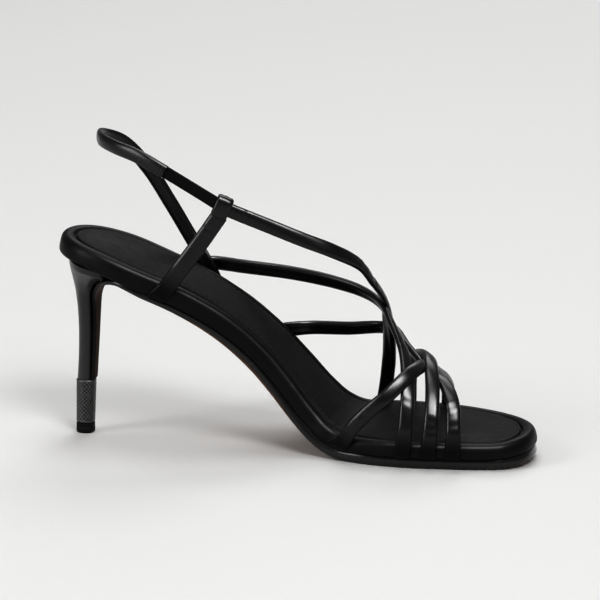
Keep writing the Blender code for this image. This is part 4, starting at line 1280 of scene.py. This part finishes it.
def elasticLook(name, look):
    made, tree, shader = newMaterial(name, look["plain"])
    places = {"Along": mark(tree, "along"), "Across": mark(tree, "across")}
    weave = useGroup(tree, "weave", {**places, "Yarn": look["yarn"], "Cord": look["cord"]})
    colour = mixColour(tree, weave["Shade"], look["deep"], look["tone"])
    feed(tree, shader, {"Base Color": colour, "Roughness": between(tree, weave["Shade"], *look["rough"])})
    addBump(tree, shader, weave["Height"], look)
    return made


elasticFinish = {
    "yarn": 11.0, "cord": 10.1, "deep": grey(0.0015), "tone": grey(0.005), "rough": (0.95, 0.8),
    "bump": 0.6, "bumpDepth": 0.00015,
    "plain": {"Specular IOR Level": 0.1, "Sheen Weight": 0.02, "Sheen Roughness": 0.5},
}


def makeElasticWeb():
    first, last = slingSplit - elasticWeb["tuck"], slingPath.end - endGap
    b, n, s = strapSection(elasticWeb)
    cords = elasticWeb["cordHeight"] * np.cos(2 * math.pi * elasticWeb["cords"] * b)
    high = n * elasticWeb["thick"] + cords * np.clip(s * elasticWeb["cordEase"], -1, 1)
    flat = b * elasticWeb["width"]
    rings, alongs = [], []
    for run in np.linspace(first, last, int((last - first) / elasticWeb["step"]) + 1):
        centre, _, out, across, _ = slingPath.frame(run)
        pull = 1 - elasticWeb["pull"] * math.sin(math.pi * (run - first) / (last - first))
        rings.append(centre + (flat * pull)[:, None] * across + high[:, None] * out)
        alongs.append(np.full(len(b), run))
    shape, _ = loftRings(rings, [alongs, [flat] * len(rings)], ["along", "across"])
    look = elasticLook("elasticWeave", elasticFinish)
    return makePiece("elasticWeb", shape, look, "sling_elastic", elasticWeb["smooth"])


makeElasticWeb()


# Stitches: round the insole and over the sling's end on the elastic
threadForm = {
    "width": 0.42, "sides": 8, "rings": (-1, -0.82, -0.5, 0, 0.5, 0.82, 1),
    "taper": 0.9, "tip": 0.05, "sag": 0.22,
}
threadFinish = {
    "twist": 2600.0, "noise": (3.0, 0.6), "deep": grey(0.008), "tone": grey(0.03), "rough": (0.5, 0.75),
    "bump": 0.5, "bumpDepth": 0.0001, "plain": {"Specular IOR Level": 0.35},
}


def threadLook(name, look):
    made, tree, shader = newMaterial(name, look["plain"])
    twist = noise(tree, ownPlace(tree), look["twist"], *look["noise"])
    colour = mixColour(tree, twist, look["deep"], look["tone"])
    feed(tree, shader, {"Base Color": colour, "Roughness": between(tree, twist, *look["rough"])})
    addBump(tree, shader, twist, look)
    return made


blackThread = threadLook("blackThread", threadFinish)


def addStitch(shape, start, end, up):
    # one rounded stitch that dips into the leather at both ends
    ahead = end - start
    length = np.linalg.norm(ahead)
    ahead, middle = ahead / length, 0.5 * (start + end)
    across = np.cross(up, ahead)
    turn = 2 * math.pi * np.arange(threadForm["sides"]) / threadForm["sides"]
    loops = []
    for share in threadForm["rings"]:
        full = max(1 - threadForm["taper"] * share ** 4, threadForm["tip"])
        radius = 0.5 * threadForm["width"] * math.sqrt(full)
        hub = middle + 0.5 * length * share * ahead - threadForm["sag"] * share ** 4 * up
        ring = [hub + radius * (math.sin(angle) * up + math.cos(angle) * across) for angle in turn]
        loops.append([shape.verts.new(point) for point in ring])
    skinLoops(shape, loops)


insoleStitch = {"length": 2.0, "pitch": 2.75, "inset": 8.6, "lift": 0.12, "linePoints": 1200}


def makeInsoleStitch():
    line = insetLine(planOutline(insoleStitch["linePoints"]), insoleStitch["inset"])
    total = runningLength(np.vstack((line, line[:1])))[-1]
    count = int(total / insoleStitch["pitch"])
    marks = evenLine(line, 2 * count, closed=True)
    shape = bmesh.new()
    reach = 0.5 * insoleStitch["length"]
    for at in range(count):
        here, after = marks[2 * at], marks[(2 * at + 1) % len(marks)]
        way = (after - here) / np.linalg.norm(after - here)
        spots = []
        for sign in (-1, 1):
            run, across = here + sign * reach * way
            sink, trough = sockSink(run, across)
            spots.append(sole.place(run, across, rimHeight(run) + insoleStitch["lift"] - sink - trough))
        up = sole.place(here[0], 0, 1) - sole.place(here[0], 0, 0)
        addStitch(shape, spots[0], spots[1], up)
    return makePiece("insoleStitch", shape, blackThread)


makeInsoleStitch()


tackStitch = {"runsIn": (1.6, 3.2), "count": 4, "spread": 3.6, "fill": 0.84, "proud": 0.02}


def makeTackStitch():
    shape = bmesh.new()
    power = strapForm["squareness"]
    half = 0.5 * tackStitch["fill"] * tackStitch["spread"] / (tackStitch["count"] - 1)
    for runIn in tackStitch["runsIn"]:
        centre, _, out, across, _ = slingPath.frame(slingSplit - runIn)
        for b in tackStitch["spread"] * np.linspace(-0.5, 0.5, tackStitch["count"]):
            high = 0.5 + 0.5 * (1 - abs(2 * b / strapForm["width"]) ** power) ** (1 / power)
            spot = centre + b * across + (strapForm["thick"] * high + tackStitch["proud"]) * out
            addStitch(shape, spot - half * across, spot + half * across, out)
    return makePiece("tackStitch", shape, blackThread)


makeTackStitch()
print("stage stitches")


# Studio: pale floor, soft light, camera at the photograph's angle
studio = {
    "floorHalf": 4.0, "floorCells": 24, "floorClouds": (3.0, 4.0),
    "floorTone": (0.83, 0.83, 0.822, 1), "floorDeep": (0.81, 0.81, 0.802, 1),
    "floorPlain": {"Roughness": 0.75, "Specular IOR Level": 0.25}, "world": 0.25,
    "lights": [  # name, place, width, height, power, whether it lights all or only gives gloss
        ("keySoft", (0.75, -1.15, 1.55), 0.8, 0.8, 16.5, True),
        ("glossSoft", (0.35, -0.95, 1.7), 1.5, 1.0, 80.0, False),
        ("heelSoft", (-1.1, -0.75, 0.35), 0.7, 0.5, 7.0, False),
        ("fillSoft", (-1.3, -0.9, 1.0), 0.7, 0.7, 7.0, True),
        ("topSoft", (-0.1, 0.3, 1.7), 0.9, 0.9, 9.0, True),
        ("backSoft", (0.0, 1.9, 1.6), 1.4, 1.4, 16.0, True),
    ],
    "lightAim": 0.05, "lean": 0.5,  # height the lights aim at; how far those behind aim back from the shoe
    "azimuth": 11.0, "elevation": 13.5, "distance": 2.5, "lens": 331.0, "aim": (0.0, 0.0, 0.066),
    "clipEnd": 50.0, "gamma": 0.77,
}


def makeFloor():
    shape = bmesh.new()
    cells = studio["floorCells"]
    bmesh.ops.create_grid(shape, x_segments=cells, y_segments=cells, size=studio["floorHalf"])
    mesh = bpy.data.meshes.new("studioFloor")
    shape.to_mesh(mesh)
    shape.free()
    made, tree, shader = newMaterial("paleFloor", studio["floorPlain"])
    cloud = noise(tree, ownPlace(tree), *studio["floorClouds"])
    feed(tree, shader, {"Base Color": mixColour(tree, cloud, studio["floorDeep"], studio["floorTone"])})
    mesh.materials.append(made)
    floor = bpy.data.objects.new("studioFloor", mesh)
    bpy.context.scene.collection.objects.link(floor)


def aimAt(item, spot, target):
    away = np.array(spot) - np.array(target)
    flat = math.hypot(away[0], away[1])
    item.location = spot
    item.rotation_euler = (math.atan2(flat, away[2]), 0.0, math.atan2(away[0], -away[1]))


def makeLights():
    for name, spot, wide, high, power, lightsAll in studio["lights"]:
        light = bpy.data.lights.new(name, "AREA")
        light.shape = "ELLIPSE"
        light.size, light.size_y = wide, high
        light.energy = power
        item = bpy.data.objects.new(name, light)
        item.visible_diffuse = lightsAll
        bpy.context.scene.collection.objects.link(item)
        aimAt(item, spot, (0.0, studio["lean"] * max(spot[1], 0.0), studio["lightAim"]))
    world = bpy.data.worlds.new("studioWorld")
    world.use_nodes = True
    back = world.node_tree.nodes["Background"].inputs
    back["Color"].default_value = (1.0, 1.0, 1.0, 1.0)
    back["Strength"].default_value = studio["world"]
    bpy.context.scene.world = world
    bpy.context.scene.view_settings.view_transform = "Standard"
    bpy.context.scene.view_settings.gamma = studio["gamma"]


def makeCamera():
    camera = bpy.data.cameras.new("studioCamera")
    camera.lens = studio["lens"]
    camera.clip_end = studio["clipEnd"]
    item = bpy.data.objects.new("studioCamera", camera)
    bpy.context.scene.collection.objects.link(item)
    turn, lift = math.radians(studio["azimuth"]), math.radians(studio["elevation"])
    way = np.array((math.sin(turn) * math.cos(lift), -math.cos(turn) * math.cos(lift), math.sin(lift)))
    aim = np.array(studio["aim"])
    aimAt(item, tuple(aim + studio["distance"] * way), studio["aim"])
    bpy.context.scene.camera = item


makeFloor()
makeLights()
makeCamera()
print("stage studio")
